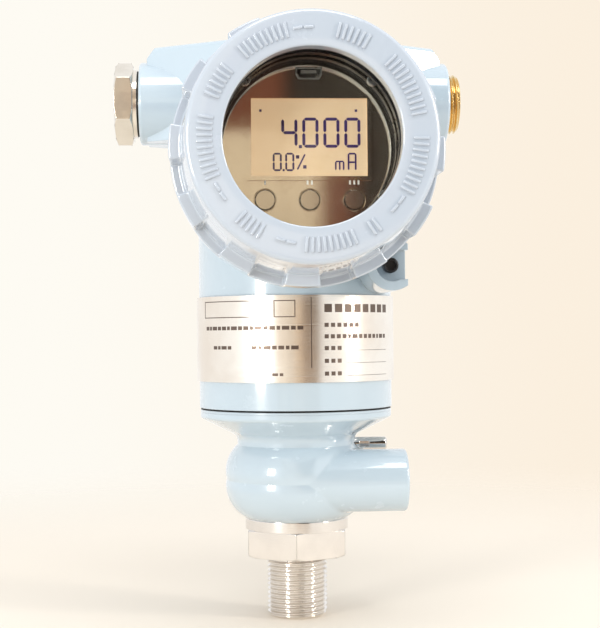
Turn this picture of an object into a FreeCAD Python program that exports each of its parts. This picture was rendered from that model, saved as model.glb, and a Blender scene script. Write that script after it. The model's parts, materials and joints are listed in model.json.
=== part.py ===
import FreeCAD, Part
import math
import os

# Pressure transmitter with a round window cover, two conduit entries and a male process thread.
# Millimetres. Origin on the process thread's axis, at the sealing face under the hexagon.
# +Z is up, the display faces -Y, and +X is to the reader's right.

V = FreeCAD.Vector
UP = V(0, 0, 1)
BACK = V(0, 1, 0)
RIGHT = V(1, 0, 0)

# ---------------------------------------------------------------- clearances
running = 0.10             # radial, between a turning or sliding piece and what guides it
seat = 0.05                # between pieces that are fixed to each other
apart = 0.30               # between pieces that must not rub
past = 1.0                 # how far a cutter or a joined root runs past the face it meets
touching = 0.01            # two places this close are the same place

# ---------------------------------------------------------------- small edges and drive slots
edge_break = 0.5           # turned edges of screws and of the window
fine_break = 0.3
thread_lead = 0.8          # chamfer at the start of a thread
slot_width = 0.7
slot_depth = 0.6

# ---------------------------------------------------------------- process connection
thread_radius = 10.0       # M20 x 1.5
thread_length = 20.5
thread_chamfer = 1.5
hex_flats = 32.0
hex_height = 9.0
hex_chamfer = 1.6
hex_turn = -94.0           # degrees, direction of one corner
collar_radius = 17.25
collar_height = 3.6
port_radius = 1.75
shank_radius = 12.9        # upper shank, screwed into the casting
shank_height = 11.4
diaphragm_radius = 9.4
diaphragm_thickness = 0.3
capsule_radius = 12.6
capsule_height = 14.0
capsule_head_radius = 8.5
capsule_head_height = 3.5
capsule_edge = 1.0
shank_groove_depth = 1.2
shank_groove_width = 1.5
shank_ring_height = 7.0    # above the casting's foot

# ---------------------------------------------------------------- sensor casting
foot_radius = 17.25
bulb_radius = 23.5
bulb_waist = 12.8          # height of the widest ring above the foot
bulb_height = 24.4
neck_radius = 19.7
neck_height = 3.0
cone_height = 6.2
flange_inset = 0.25        # inside the housing's radius
flange_height = 2.8
spigot_height = 7.0
spigot_wall = 6.0
casting_floor = 5.0        # solid above the capsule bore, up to the board's well
boss_radius = 10.2
boss_reach = 35.3          # end face, from the thread's axis
boss_forward = 13.2
boss_height = 13.0         # boss axis above the foot
boss_edge = 0.9
boss_fillet = 2.5          # where the boss grows out of the bulb
neck_fillet = 3.0          # under the cone
cone_fillet = 1.0          # between the cone and the flange
bracket_hole_radius = 4.25 # M10 tapping size
bracket_hole_depth = 16.0
bracket_hole_chamfer = 0.8
bracket_drill_point = 2.4
neck_screw_radius = 2.2
neck_screw_reach = 30.6
neck_screw_height = 24.1   # above the foot
neck_screw_depth = 3.0     # engaged length in the casting
neck_slot_width = 1.7
neck_slot_length = 3.4
neck_slot_depth = 1.4
neck_slot_inset = 6.0      # from the screw's end

# ---------------------------------------------------------------- joint between casting and housing
seam = 0.6
seam_ring_inset = 1.0      # centre line of the seal ring, inside the flange's edge
seam_groove_depth = 0.9
seam_groove_width = 1.9

# ---------------------------------------------------------------- housing body
body_radius = 32.25
body_wall = 4.25
cover_axis_height = 126.8
barrel_step = 2.5          # from the threaded neck out to the barrel
barrel_front = 56.0        # shoulder the cover closes on, in front of the thread's axis
barrel_back = 33.0
barrel_dome = 14.0         # how far the rounded back reaches forward
barrel_floor = 24.0        # inside face of the back wall, behind the axis
chamber_gap = 0.8          # round the display's spigot, in the wiring chamber behind it
ledge_front = 47.7
neck_wall = 3.9            # threaded neck that carries the cover
screw_neck_front = 72.0
body_bore_top = 8.0        # below the cover axis

# ---------------------------------------------------------------- shoulders and conduit entries
entry_rise = 24.7          # entry axis above the cover axis
entry_boss_radius = 13.75
entry_reach = 51.5
entry_edge = 1.0
entry_bore_radius = 10.05
entry_bore_depth = 22.5    # of the wide bore, from the entry's end face
entry_throat_radius = 7.5
shoulder_circle = 28.8
shoulder_inset = 2.6       # its end, behind the entry's end face
shoulder_half = 6.5
shoulder_above = 17.7      # flat top above the entry axis
shoulder_below = 13.5
shoulder_cut_x = 2.9
shoulder_cut_z = 3.7
shoulder_edge = 1.6

# ---------------------------------------------------------------- cover lock
lock_offset = 5.86         # the screw's axis, outside the barrel
lock_angle = -50.72
lock_front = 52.0
lock_back = 14.0
lock_outer_radius = 7.8
lock_pocket_radius = 5.0
lock_pocket_depth = 6.5
lock_cut = 4.7             # flat that opens the pocket, beyond the screw's axis
lock_slot_half = 4.4
lock_head_radius = 2.35
lock_head_height = 3.0
lock_socket_flats = 3.0
lock_socket_depth = 1.9
lock_shank_radius = 2.0
lock_shank_length = 12.0

# ---------------------------------------------------------------- nameplate band
plate_rise = 8.9           # its lower edge, above the joint
plate_clear = 0.5          # under the lock lug
plate_thickness = 0.5
plate_stand_off = 0.2      # raised seat on the casting
plate_angle = 300.0
rivet_radius = 1.1
rivet_head_radius = 2.0
rivet_head_height = 0.8
rivet_head_land = 0.3
rivet_crown_radius = 1.2
rivet_depth = 2.6
rivet_edge = 4.5           # from each edge of the band

# ---------------------------------------------------------------- cover
cover_front = 94.5
cover_gap = 0.4            # behind the rim when the cover is tight
skirt_taper = 2.9          # from the front of the lugs to the face
face_edge = 1.1
skirt_wall = 2.7           # over the threaded neck, at the front of the lugs
skirt_flare = 0.7
lug_front = 72.0
lug_proud = 2.7
lug_count = 12
lug_angle = 15.0
lug_phase = -92.6
rim_thickness = 3.6
rim_edge = 0.7
window_lap = 2.7           # how far the lip covers the glass
lip_thickness = 5.0
glass_inset = 6.3          # inside the face's radius
glass_thickness = 8.0
gasket_thickness = 0.8
ring_width = 2.2
ring_thickness = 3.0
ring_notch = 2.4
relief_step = 2.5          # bore behind the glass, inside the neck's radius
seal_section = 1.0
seal_room = 4.0            # axial room for the seal ring in the rim

# ---------------------------------------------------------------- display module
display_front = 76.0
display_radius = 28.8
display_gap = 0.8          # round the module, in the barrel's bore
faceplate_thickness = 2.0
case_wall = 1.0
case_depth = 20.0
case_floor = 2.0
case_step = 4.8            # from the case in to its spigot
case_spigot_wall = 2.0
case_lip = 0.35            # how far the snap lip stands out behind the ring
case_lip_thickness = 0.8
lcd_rise = 1.9
lcd_width_share = 1.125    # of the display's radius
lcd_height_share = 0.7535
lcd_recess = 0.5
lcd_border = 1.8
lcd_thickness = 3.4
frame_border = 1.25
frame_height = 0.6
usb_inset = 8.9            # its centre, inside the display's radius
usb_width = 7.4
usb_height = 3.4
usb_wall = 0.4
usb_depth = 8.0
usb_floor = 1.0
usb_knee_height = 1.36     # from the socket's lower side
usb_knee_inset = 0.85
usb_tongue_width = 4.4
usb_tongue_thickness = 0.95
usb_tongue_rise = 0.17     # its lower side above the socket's centre
usb_tongue_inset = 1.0
key_radius = 3.0
key_inset = 13.2           # key centres, inside the display's radius at the bottom
key_pitch = 12.5
key_proud = 0.3
key_travel = 0.6
key_flange_radius = 3.9
key_flange_thickness = 0.8
key_edge = 0.4
key_stem_radius = 1.5
switch_size = 4.5
switch_height = 2.0
board_thickness = 1.6
board_inset = 1.6          # inside the display's radius
logic_board_gap = 5.2      # behind the faceplate
power_board_gap = 14.0
spacer_radius = 1.6
spacer_inset = 3.4         # inside the display's radius
spacer_angles = (45.0, 135.0, 215.0, 325.0)
face_screw_radius = 0.9
face_screw_head = 1.6
face_screw_head_height = 1.2
ring_gap = 0.2             # round the turn ring, in the barrel's bore
ring_screw_radius = 1.25
ring_screw_head = 1.9
ring_screw_head_height = 1.7
ring_screw_depth = 5.0
ring_screw_angles = (90.0, 210.0, 330.0)
turn_ring_thickness = 4.0

# ---------------------------------------------------------------- wiring chamber
terminal_width = 34.0
terminal_depth = 12.0
terminal_height = 14.0
terminal_drop = 4.0
terminal_post = 4.0
terminal_post_radius = 3.2
terminal_post_pitch = 24.0
terminal_pitch = 10.0
terminal_screw_radius = 2.6
terminal_screw_height = 1.8
terminal_wall = 1.2
terminal_pocket = 4.0
terminal_count = 3
earth_inset = 6.0          # its centre, inside the wiring chamber's wall
earth_angle = 129.6
earth_screw_radius = 1.6
earth_head_radius = 3.2
earth_head_height = 2.2
earth_washer_radius = 4.2
earth_washer_thickness = 0.8
earth_depth = 3.5

# ---------------------------------------------------------------- sensor board
sensor_board_room = 1.9    # between the board's edge and its well
sensor_board_gap = 5.0
sensor_spacer_inset = 4.0  # inside the board's edge
sensor_spacer_radius = 2.0
sensor_screw_head = 1.9
sensor_screw_radius = 0.9
sensor_screw_height = 1.2
sensor_screw_engaged = 3.0 # length inside the spacer
sensor_spacer_angles = (90.0, 210.0, 330.0)
header_width = 12.0
header_depth = 5.0
header_height = 4.0

# ---------------------------------------------------------------- conduit plug and cable fitting
plug_flats = 24.0
plug_hex_length = 6.0
plug_chamfer = 1.2
plug_turn = 0.0            # degrees, direction of one corner from upright
plug_engaged = 9.0
plug_washer_radius = 11.4
plug_washer_thickness = 1.3
plug_gasket_radius = 10.9
plug_gasket_thickness = 0.7
plug_pip_radius = 0.7
plug_pip_length = 1.0
fitting_proud = 4.0
fitting_bore_radius = 6.5
fitting_engaged = 12.6
fitting_bore_chamfer = 0.6
grommet_length = 8.0
grommet_bore_radius = 4.5
grommet_washer_thickness = 1.2

# ---------------------------------------------------------------- levels worked out from the above
foot = hex_height + collar_height
bulb_top = foot + bulb_height
boss_axis_height = foot + boss_height
neck_top = bulb_top + neck_height
flange_low = neck_top + cone_height
flange_top = flange_low + flange_height
body_low = flange_top + seam
body_bore_radius = body_radius - body_wall
flange_radius = body_radius - flange_inset
seam_ring_radius = flange_radius - seam_ring_inset
spigot_radius = body_bore_radius - running
well_radius = spigot_radius - spigot_wall
sensor_board_radius = well_radius - sensor_board_room
sensor_spacer_circle = sensor_board_radius - sensor_spacer_inset
shank_top = foot + shank_height
collar_bore_radius = display_radius + display_gap
screw_neck_radius = collar_bore_radius + neck_wall
barrel_radius = screw_neck_radius + barrel_step
barrel_flat_radius = barrel_radius - barrel_dome
entry_height = cover_axis_height + entry_rise
entry_bore_stop = entry_reach - entry_bore_depth
shoulder_end = entry_reach - shoulder_inset
lock_circle = barrel_radius + lock_offset
lock_x = lock_circle * math.cos(math.radians(lock_angle))
lock_height = cover_axis_height + lock_circle * math.sin(math.radians(lock_angle))
lock_cut_x = lock_x + lock_cut
plate_low = body_low + plate_rise
plate_top = lock_height - lock_outer_radius - plate_clear
plate_height = plate_top - plate_low
head_low = plate_top + plate_clear / 2
skirt_radius = screw_neck_radius + skirt_wall
skirt_end_radius = skirt_radius + skirt_flare
lug_radius = skirt_end_radius + lug_proud
face_radius = skirt_radius - skirt_taper
glass_radius = face_radius - glass_inset
window_radius = glass_radius - window_lap
ring_inner_radius = glass_radius - ring_width
cover_relief_radius = screw_neck_radius - relief_step
case_spigot_radius = display_radius - case_step
chamber_radius = case_spigot_radius + chamber_gap
earth_x = (chamber_radius - earth_inset) * math.cos(math.radians(earth_angle))
earth_z = cover_axis_height + (chamber_radius - earth_inset) * math.sin(math.radians(earth_angle))
ring_outer_radius = collar_bore_radius - ring_gap
ring_screw_circle = (case_spigot_radius + running + ring_outer_radius) / 2
board_radius = display_radius - board_inset
spacer_circle = display_radius - spacer_inset
lcd_width = display_radius * lcd_width_share
lcd_height = display_radius * lcd_height_share
usb_rise = display_radius - usb_inset
key_drop = display_radius - key_inset
cover_back = barrel_front + cover_gap
glass_front = cover_front - lip_thickness - gasket_thickness
glass_back = glass_front - glass_thickness
ring_back = glass_back - ring_thickness
case_back = display_front - faceplate_thickness - case_depth
well_floor = shank_top + capsule_height + casting_floor


def turned(profile, base, direction):
    """Solid of revolution. profile holds (radius, height) points; a point given as
    ("via", radius, height) is the middle of an arc between its neighbours."""
    edges = []
    points = profile + [profile[0]]
    start = points[0]
    index = 1
    while index < len(points):
        point = points[index]
        if point[0] == "via":
            end = points[index + 1]
            arc = Part.Arc(V(start[0], 0, start[1]), V(point[1], 0, point[2]), V(end[0], 0, end[1]))
            edges.append(arc.toShape())
            index += 2
        else:
            end = point
            edges.append(Part.makeLine(V(start[0], 0, start[1]), V(end[0], 0, end[1])))
            index += 1
        start = end
    face = Part.Face(Part.Wire(edges))
    solid = face.revolve(V(0, 0, 0), UP, 360)
    solid.Placement = FreeCAD.Placement(base, FreeCAD.Rotation(UP, direction))
    return solid


def rod(radius, length, base, direction):
    return Part.makeCylinder(radius, length, base, direction)


def ring(outer, inner, length, base, direction):
    return rod(outer, length, base, direction).cut(rod(inner, length, base, direction))


def hex_bar(flats, length, base, direction, turn):
    corner = flats / math.sqrt(3.0)
    points = []
    for index in range(7):
        angle = math.radians(turn + 60.0 * index)
        points.append(V(corner * math.cos(angle), corner * math.sin(angle), 0))
    bar = Part.Face(Part.makePolygon(points)).extrude(V(0, 0, length))
    bar.Placement = FreeCAD.Placement(base, FreeCAD.Rotation(UP, direction))
    return bar


def chamfered_hex(flats, length, chamfer, both_ends, base, direction, turn):
    """Hexagon whose corners are turned off at 30 degrees, at the base or at both ends."""
    corner = flats / math.sqrt(3.0) + touching
    drop = chamfer * math.tan(math.radians(30.0))
    outline = [(0, 0), (corner - chamfer, 0), (corner, drop)]
    if both_ends:
        outline += [(corner, length - drop), (corner - chamfer, length)]
    else:
        outline += [(corner, length)]
    outline += [(0, length)]
    return hex_bar(flats, length, base, direction, turn).common(turned(outline, base, direction))


def block(size_x, size_y, size_z, corner):
    return Part.makeBox(size_x, size_y, size_z, corner)


def fused(first, others):
    return first.multiFuse(others).removeSplitter()


def on_circle(radius, angle):
    """Point on a circle about the cover axis, as (x, z)."""
    turn = math.radians(angle)
    return radius * math.cos(turn), cover_axis_height + radius * math.sin(turn)


def front_at(distance, x=0.0, z=cover_axis_height):
    """Point at a distance in front of the thread's axis."""
    return V(x, -distance, z)


# ================================================================ process side

def process_connection():
    low = -thread_length
    body = turned([
        (port_radius, low), (thread_radius - thread_chamfer, low), (thread_radius, low + thread_chamfer),
        (thread_radius, hex_height / 2), (collar_radius, hex_height / 2), (collar_radius, foot),
        (shank_radius, foot), (shank_radius, shank_top), (diaphragm_radius + seat, shank_top),
        (diaphragm_radius + seat, shank_top - diaphragm_thickness),
        (port_radius, shank_top - diaphragm_thickness),
    ], V(0, 0, 0), UP)
    nut = chamfered_hex(hex_flats, hex_height, hex_chamfer, False, V(0, 0, 0), UP, hex_turn)
    nut = nut.cut(rod(port_radius, hex_height, V(0, 0, 0), UP))
    groove = ring(shank_radius + past, shank_radius - shank_groove_depth, shank_groove_width,
                  V(0, 0, foot + shank_ring_height - shank_groove_width / 2), UP)
    return fused(body, [nut]).cut(groove)


def shank_o_ring():
    room = shank_groove_depth + seat
    centre = shank_radius - shank_groove_depth + room / 2
    return Part.makeTorus(centre, room / 2 - seat, V(0, 0, foot + shank_ring_height), UP)


def isolating_diaphragm():
    return rod(diaphragm_radius, diaphragm_thickness, V(0, 0, shank_top - diaphragm_thickness), UP)


def sensor_capsule():
    top = shank_top + capsule_height
    return turned([
        (0, shank_top), (capsule_radius, shank_top), (capsule_radius, top - capsule_edge),
        (capsule_radius - capsule_edge, top),
        (capsule_head_radius, top), (capsule_head_radius, top + capsule_head_height),
        (0, top + capsule_head_height),
    ], V(0, 0, 0), UP)


def ring_edges(solid, radius, height):
    return [edge for edge in solid.Edges if isinstance(edge.Curve, Part.Circle)
            and abs(edge.Curve.Radius - radius) < touching and abs(edge.Curve.Center.z - height) < touching]


def boss_join(solid):
    """Edges along which the boss grows out of the round casting."""
    found = []
    for edge in solid.Edges:
        middle = edge.valueAt((edge.FirstParameter + edge.LastParameter) / 2)
        away = math.hypot(middle.y + boss_forward, middle.z - boss_axis_height)
        if (abs(away - boss_radius) < touching and not isinstance(edge.Curve, Part.Line)
                and middle.x < boss_reach - 2 * boss_edge):
            found.append(edge)
    return found


def sensor_casting():
    half = math.sqrt(0.5)
    waist = foot + bulb_waist
    spigot_top = flange_top + spigot_height
    outside = turned([
        (0, foot), (foot_radius, foot),
        ("via", foot_radius + (bulb_radius - foot_radius) * half, waist - bulb_waist * half),
        (bulb_radius, waist),
        ("via", neck_radius + (bulb_radius - neck_radius) * half, waist + (bulb_top - waist) * half),
        (neck_radius, bulb_top), (neck_radius, neck_top), (flange_radius, flange_low),
        (flange_radius, flange_top), (spigot_radius, flange_top), (spigot_radius, spigot_top),
        (0, spigot_top),
    ], V(0, 0, 0), UP)
    outside = outside.makeFillet(neck_fillet, ring_edges(outside, neck_radius, neck_top))
    outside = outside.makeFillet(cone_fillet, ring_edges(outside, flange_radius, flange_low))
    boss_start = V(0, -boss_forward, boss_axis_height)
    boss = rod(boss_radius, boss_reach, boss_start, RIGHT)
    boss = boss.makeFillet(boss_edge, [edge for edge in boss.Edges if edge.BoundBox.XMin > boss_reach / 2])
    boss_end = Part.makeSphere(boss_radius, boss_start)
    capsule_bore = rod(shank_radius + seat, shank_top + capsule_height - foot + seat, V(0, 0, foot), UP)
    head_bore = rod(capsule_head_radius + apart, well_floor - foot, V(0, 0, foot), UP)
    well = rod(well_radius, spigot_top - well_floor, V(0, 0, well_floor), UP)
    hole_end = V(boss_reach, -boss_forward, boss_axis_height)
    hole = turned([
        (0, 0), (bracket_hole_radius + bracket_hole_chamfer, 0), (bracket_hole_radius, bracket_hole_chamfer),
        (bracket_hole_radius, bracket_hole_depth), (0, bracket_hole_depth + bracket_drill_point),
    ], hole_end, V(-1, 0, 0))
    screw_seat = neck_radius - neck_screw_depth
    screw_hole = rod(neck_screw_radius + seat, boss_reach, V(screw_seat, 0, foot + neck_screw_height), RIGHT)
    seam_groove = ring(seam_ring_radius + seam_groove_width / 2, seam_ring_radius - seam_groove_width / 2,
                       seam_groove_depth, V(0, 0, flange_top - seam_groove_depth), UP)
    solid = fused(outside, [boss, boss_end])
    solid = solid.makeFillet(boss_fillet, boss_join(solid))
    for cutter in (capsule_bore, head_bore, well, hole, screw_hole, seam_groove):
        solid = solid.cut(cutter)
    return solid


def neck_screw():
    start = neck_radius - neck_screw_depth
    height = foot + neck_screw_height
    length = neck_screw_reach - start
    screw = turned([
        (0, 0), (neck_screw_radius, 0), (neck_screw_radius, length - edge_break),
        (neck_screw_radius - edge_break, length), (0, length),
    ], V(start, 0, height), RIGHT)
    slot_start = neck_screw_reach - neck_slot_inset - neck_slot_length
    slot = block(neck_slot_length, neck_slot_depth, neck_slot_width,
                 V(slot_start, -neck_screw_radius, height - neck_slot_width / 2))
    return screw.cut(slot)


def seam_o_ring():
    radius = (seam + seam_groove_depth) / 2 - seat
    return Part.makeTorus(seam_ring_radius, radius, V(0, 0, body_low - seat - radius), UP)


def sensor_board():
    low = well_floor + sensor_board_gap
    board = rod(sensor_board_radius, board_thickness, V(0, 0, low), UP)
    for angle in sensor_spacer_angles:
        board = board.cut(rod(sensor_screw_radius + seat, board_thickness, sensor_post(angle, low), UP))
    return board


def sensor_post(angle, height):
    turn = math.radians(angle)
    return V(sensor_spacer_circle * math.cos(turn), sensor_spacer_circle * math.sin(turn), height)


def sensor_spacers():
    posts = []
    for angle in sensor_spacer_angles:
        post = hex_bar(2 * sensor_spacer_radius, sensor_board_gap, sensor_post(angle, well_floor), UP, angle)
        bore = rod(sensor_screw_radius + seat, sensor_board_gap, sensor_post(angle, well_floor), UP)
        posts.append(post.cut(bore))
    return Part.makeCompound(posts)


def sensor_board_screws():
    screws = []
    top = well_floor + sensor_board_gap + board_thickness
    for angle in sensor_spacer_angles:
        head = rod(sensor_screw_head, sensor_screw_height, sensor_post(angle, top), UP)
        length = board_thickness + sensor_screw_engaged
        shank = rod(sensor_screw_radius, length, sensor_post(angle, top - length), UP)
        screws.append(fused(head, [shank]))
    return Part.makeCompound(screws)


def sensor_header():
    low = well_floor + sensor_board_gap + board_thickness
    return block(header_width, header_depth, header_height, V(-header_width / 2, -header_depth / 2, low))


# ================================================================ housing

def shoulder_prism():
    """Upper block of the head: a circle's outline drawn out to both conduit entries."""
    reach = math.hypot(shoulder_end, shoulder_half)
    spread = math.acos(shoulder_circle / reach)
    corner = math.atan2(shoulder_half, shoulder_end)
    turn = corner + spread
    tangent_x = shoulder_circle * math.cos(turn)
    tangent_y = shoulder_circle * math.sin(turn)
    low = entry_height - shoulder_below
    height = shoulder_below + shoulder_above
    edges = [
        Part.makeLine(V(shoulder_end, -shoulder_half, low), V(shoulder_end, shoulder_half, low)),
        Part.makeLine(V(shoulder_end, shoulder_half, low), V(tangent_x, tangent_y, low)),
        Part.Arc(V(tangent_x, tangent_y, low), V(0, shoulder_circle, low),
                 V(-tangent_x, tangent_y, low)).toShape(),
        Part.makeLine(V(-tangent_x, tangent_y, low), V(-shoulder_end, shoulder_half, low)),
        Part.makeLine(V(-shoulder_end, shoulder_half, low), V(-shoulder_end, -shoulder_half, low)),
        Part.makeLine(V(-shoulder_end, -shoulder_half, low), V(-tangent_x, -tangent_y, low)),
        Part.Arc(V(-tangent_x, -tangent_y, low), V(0, -shoulder_circle, low),
                 V(tangent_x, -tangent_y, low)).toShape(),
        Part.makeLine(V(tangent_x, -tangent_y, low), V(shoulder_end, -shoulder_half, low)),
    ]
    prism = Part.Face(Part.Wire(edges)).extrude(V(0, 0, height))
    top = low + height
    rim = [edge for edge in prism.Edges if edge.BoundBox.ZMin > top - touching]
    prism = prism.makeFillet(shoulder_edge, rim)
    for side in (-1, 1):
        end_x = side * shoulder_end
        cut_x = side * (shoulder_end - shoulder_cut_x)
        start_y = -shoulder_half - past
        wedge = Part.Face(Part.makePolygon([
            V(end_x, start_y, top - shoulder_cut_z), V(end_x, start_y, top + past),
            V(cut_x, start_y, top + past), V(cut_x, start_y, top),
            V(end_x, start_y, top - shoulder_cut_z),
        ])).extrude(V(0, 2 * (shoulder_half + past), 0))
        prism = prism.cut(wedge)
    return prism


def lock_boss():
    """Lug behind the cover's rim, with a pocket that is open to the right."""
    length = lock_front - lock_back
    boss = rod(lock_outer_radius, length, V(lock_x, -lock_front, lock_height), BACK)
    trim = block(lock_outer_radius, length, 2 * lock_outer_radius,
                 V(lock_cut_x, -lock_front, lock_height - lock_outer_radius))
    return boss.cut(trim)


def lock_pocket():
    mouth_end = V(lock_x, -lock_front, lock_height)
    pocket = rod(lock_pocket_radius, lock_pocket_depth, mouth_end, BACK)
    mouth = block(lock_outer_radius + past, lock_pocket_depth, 2 * lock_slot_half,
                  V(lock_x, -lock_front, lock_height - lock_slot_half))
    bore = rod(lock_shank_radius + running, lock_pocket_depth + lock_shank_length + past, mouth_end, BACK)
    return fused(pocket, [mouth, bore])


def barrel():
    dome_front = barrel_back - barrel_dome
    half = math.sqrt(0.5)
    return turned([
        (0, -screw_neck_front), (screw_neck_radius - thread_lead, -screw_neck_front),
        (screw_neck_radius, -screw_neck_front + thread_lead), (screw_neck_radius, -barrel_front),
        (barrel_radius, -barrel_front), (barrel_radius, dome_front),
        ("via", barrel_flat_radius + (barrel_radius - barrel_flat_radius) * half,
         dome_front + barrel_dome * half),
        (barrel_flat_radius, barrel_back), (0, barrel_back),
    ], V(0, 0, cover_axis_height), BACK)


def entry_bores(side):
    """Wide threaded bore of one conduit entry, and the throat that leads on to the chamber."""
    outward = V(side, 0, 0)
    start = V(side * entry_bore_stop, 0, entry_height)
    bore = rod(entry_bore_radius, entry_bore_depth, start, outward)
    throat = rod(entry_throat_radius, entry_bore_stop, V(0, 0, entry_height), outward)
    return [bore, throat]


def housing_cavities():
    """Every space that is cast or machined into the barrel and the body."""
    body_bore = rod(body_bore_radius, cover_axis_height - body_bore_top - body_low, V(0, 0, body_low), UP)
    display_bore = rod(collar_bore_radius, screw_neck_front - ledge_front, front_at(screw_neck_front), BACK)
    chamber = rod(chamber_radius, ledge_front + barrel_floor, front_at(ledge_front), BACK)
    cutters = [body_bore, display_bore, chamber, lock_pocket()] + entry_bores(-1) + entry_bores(1)
    for angle in ring_screw_angles:
        x, z = on_circle(ring_screw_circle, angle)
        start = front_at(ledge_front, x, z)
        cutters.append(rod(ring_screw_radius + seat, ring_screw_depth + seat, start, BACK))
    for x, y, height in rivet_places():
        outward = V(x, y, 0).normalize()
        start = outward * (body_radius - rivet_depth)
        cutters.append(rod(rivet_radius + seat, rivet_depth + past, V(start.x, start.y, height), outward))
    earth_hole = V(earth_x, barrel_floor, earth_z)
    cutters.append(rod(earth_screw_radius + seat, earth_depth + seat, earth_hole, BACK))
    return cutters


def housing():
    """Barrel, body and lock lug as one casting, before the conduit entries."""
    body = rod(body_radius, cover_axis_height - body_low, V(0, 0, body_low), UP)
    plate_seat = rod(body_radius + plate_stand_off, plate_height, V(0, 0, plate_low), UP)
    solid = fused(body, [plate_seat, barrel(), lock_boss()])
    for cutter in housing_cavities():
        solid = solid.cut(cutter)
    height = cover_axis_height - terminal_drop
    posts = []
    for side in (-1, 1):
        start = V(side * terminal_post_pitch / 2, barrel_floor - terminal_post, height)
        posts.append(rod(terminal_post_radius, terminal_post + past, start, BACK))
    return solid.multiFuse(posts)


# The casting is kept as four solids that meet face to face, so that collision stays open inside each:
# the body tube, the head above it, and a conduit entry on either side of the head.

def lower_half_space():
    return rod(entry_reach + barrel_front, head_low, V(0, 0, 0), UP)


def housing_body():
    return housing().common(lower_half_space())


def housing_head():
    return housing().cut(lower_half_space())


def conduit_entry(side):
    """Half of the shoulders with one entry's boss, fitted over the barrel."""
    boss = rod(entry_boss_radius, entry_reach, V(0, 0, entry_height), V(side, 0, 0))
    far = [edge for edge in boss.Edges if abs(edge.BoundBox.XMin - side * entry_reach) < touching
           and abs(edge.BoundBox.XMax - side * entry_reach) < touching]
    shoulder = shoulder_prism().common(block(
        entry_reach, 2 * entry_reach, 2 * entry_height,
        V(min(0, side * entry_reach), -entry_reach, 0)))
    solid = fused(shoulder, [boss.makeFillet(entry_edge, far)]).cut(barrel())
    for cutter in entry_bores(side):
        solid = solid.cut(cutter)
    return solid


def nameplate_band():
    inner = body_radius + plate_stand_off + seat
    start = -90.0 - plate_angle / 2
    outer = Part.makeCylinder(inner + plate_thickness, plate_height, V(0, 0, plate_low), UP, plate_angle)
    band = outer.cut(rod(inner, plate_height, V(0, 0, plate_low), UP))
    band.rotate(V(0, 0, 0), UP, start)
    for x, y, height in rivet_places():
        outward = V(x, y, 0).normalize()
        hole = rod(rivet_radius + seat, body_radius, V(0, 0, height) + outward * (inner - past), outward)
        band = band.cut(hole)
    return band


def rivet_places():
    """Two rivets near each end of the band, as (x, y, height)."""
    radius = body_radius + plate_stand_off
    inset = math.degrees(rivet_edge / radius)
    places = []
    for side in (-1, 1):
        angle = math.radians(-90.0 + side * (plate_angle / 2 - inset))
        for height in (plate_low + rivet_edge, plate_low + plate_height - rivet_edge):
            places.append((radius * math.cos(angle), radius * math.sin(angle), height))
    return places


def nameplate_rivets():
    rivets = []
    face = body_radius + plate_stand_off + seat + plate_thickness
    for x, y, height in rivet_places():
        outward = V(x, y, 0).normalize()
        root = body_radius - rivet_depth
        rivets.append(turned([
            (0, root), (rivet_radius, root), (rivet_radius, face + seat), (rivet_head_radius, face + seat),
            (rivet_head_radius, face + rivet_head_land),
            (rivet_crown_radius, face + rivet_head_height), (0, face + rivet_head_height),
        ], V(0, 0, height), outward))
    return Part.makeCompound(rivets)


def cover_lock_screw():
    floor = lock_front - lock_pocket_depth
    head_front = floor + lock_head_height
    screw = turned([
        (0, -head_front), (lock_head_radius - fine_break, -head_front),
        (lock_head_radius, -head_front + fine_break), (lock_head_radius, -floor),
        (lock_shank_radius, -floor), (lock_shank_radius, -floor + lock_shank_length),
        (0, -floor + lock_shank_length),
    ], V(lock_x, 0, lock_height), BACK)
    socket = hex_bar(lock_socket_flats, lock_socket_depth, V(lock_x, -head_front, lock_height), BACK, 0.0)
    return screw.cut(socket)


# ================================================================ cover

def lug_gap(angle):
    """Space between two lugs, in front of the rim."""
    depth = lug_front - cover_back - rim_thickness
    reach = lug_radius + past
    pie = Part.makeCylinder(reach, depth, V(0, 0, 0), UP, lug_angle)
    pie.rotate(V(0, 0, 0), UP, angle - lug_angle / 2)
    core = Part.makeCone(skirt_radius, skirt_end_radius, depth, V(0, 0, 0), UP)
    gap = pie.cut(core)
    gap.Placement = FreeCAD.Placement(front_at(lug_front), FreeCAD.Rotation(V(1, 0, 0), -90)).multiply(
        gap.Placement)
    return gap


def cover_shell():
    neck_fit = screw_neck_radius + running
    seal_outer = screw_neck_radius + running + 2 * seal_section + running
    thread_front = screw_neck_front + apart
    face_round = face_edge * (1 - math.sqrt(0.5))
    profile = [
        (window_radius, -cover_front), (face_radius, -cover_front),
        ("via", face_radius + face_edge - face_round, -cover_front + face_round),
        (face_radius + face_edge, -cover_front + face_edge),
        (skirt_radius, -lug_front), (lug_radius - rim_edge, -lug_front), (lug_radius, -lug_front + rim_edge),
        (lug_radius, -cover_back - rim_edge), (lug_radius - rim_edge, -cover_back),
        (seal_outer, -cover_back), (seal_outer, -cover_back - seal_room),
        (neck_fit, -cover_back - seal_room),
        (neck_fit, -thread_front), (cover_relief_radius, -thread_front),
        (cover_relief_radius, -ring_back + seat), (glass_radius + seat, -ring_back + seat),
        (glass_radius + seat, -cover_front + lip_thickness),
        (window_radius, -cover_front + lip_thickness),
    ]
    shell = turned(profile, V(0, 0, cover_axis_height), BACK)
    pitch = 360.0 / lug_count
    gaps = [lug_gap(lug_phase + pitch * (index + 0.5)) for index in range(lug_count)]
    return shell.cut(Part.makeCompound(gaps))


def window_gasket():
    start = front_at(cover_front - lip_thickness)
    return ring(glass_radius, window_radius + seat, gasket_thickness, start, BACK)


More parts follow.
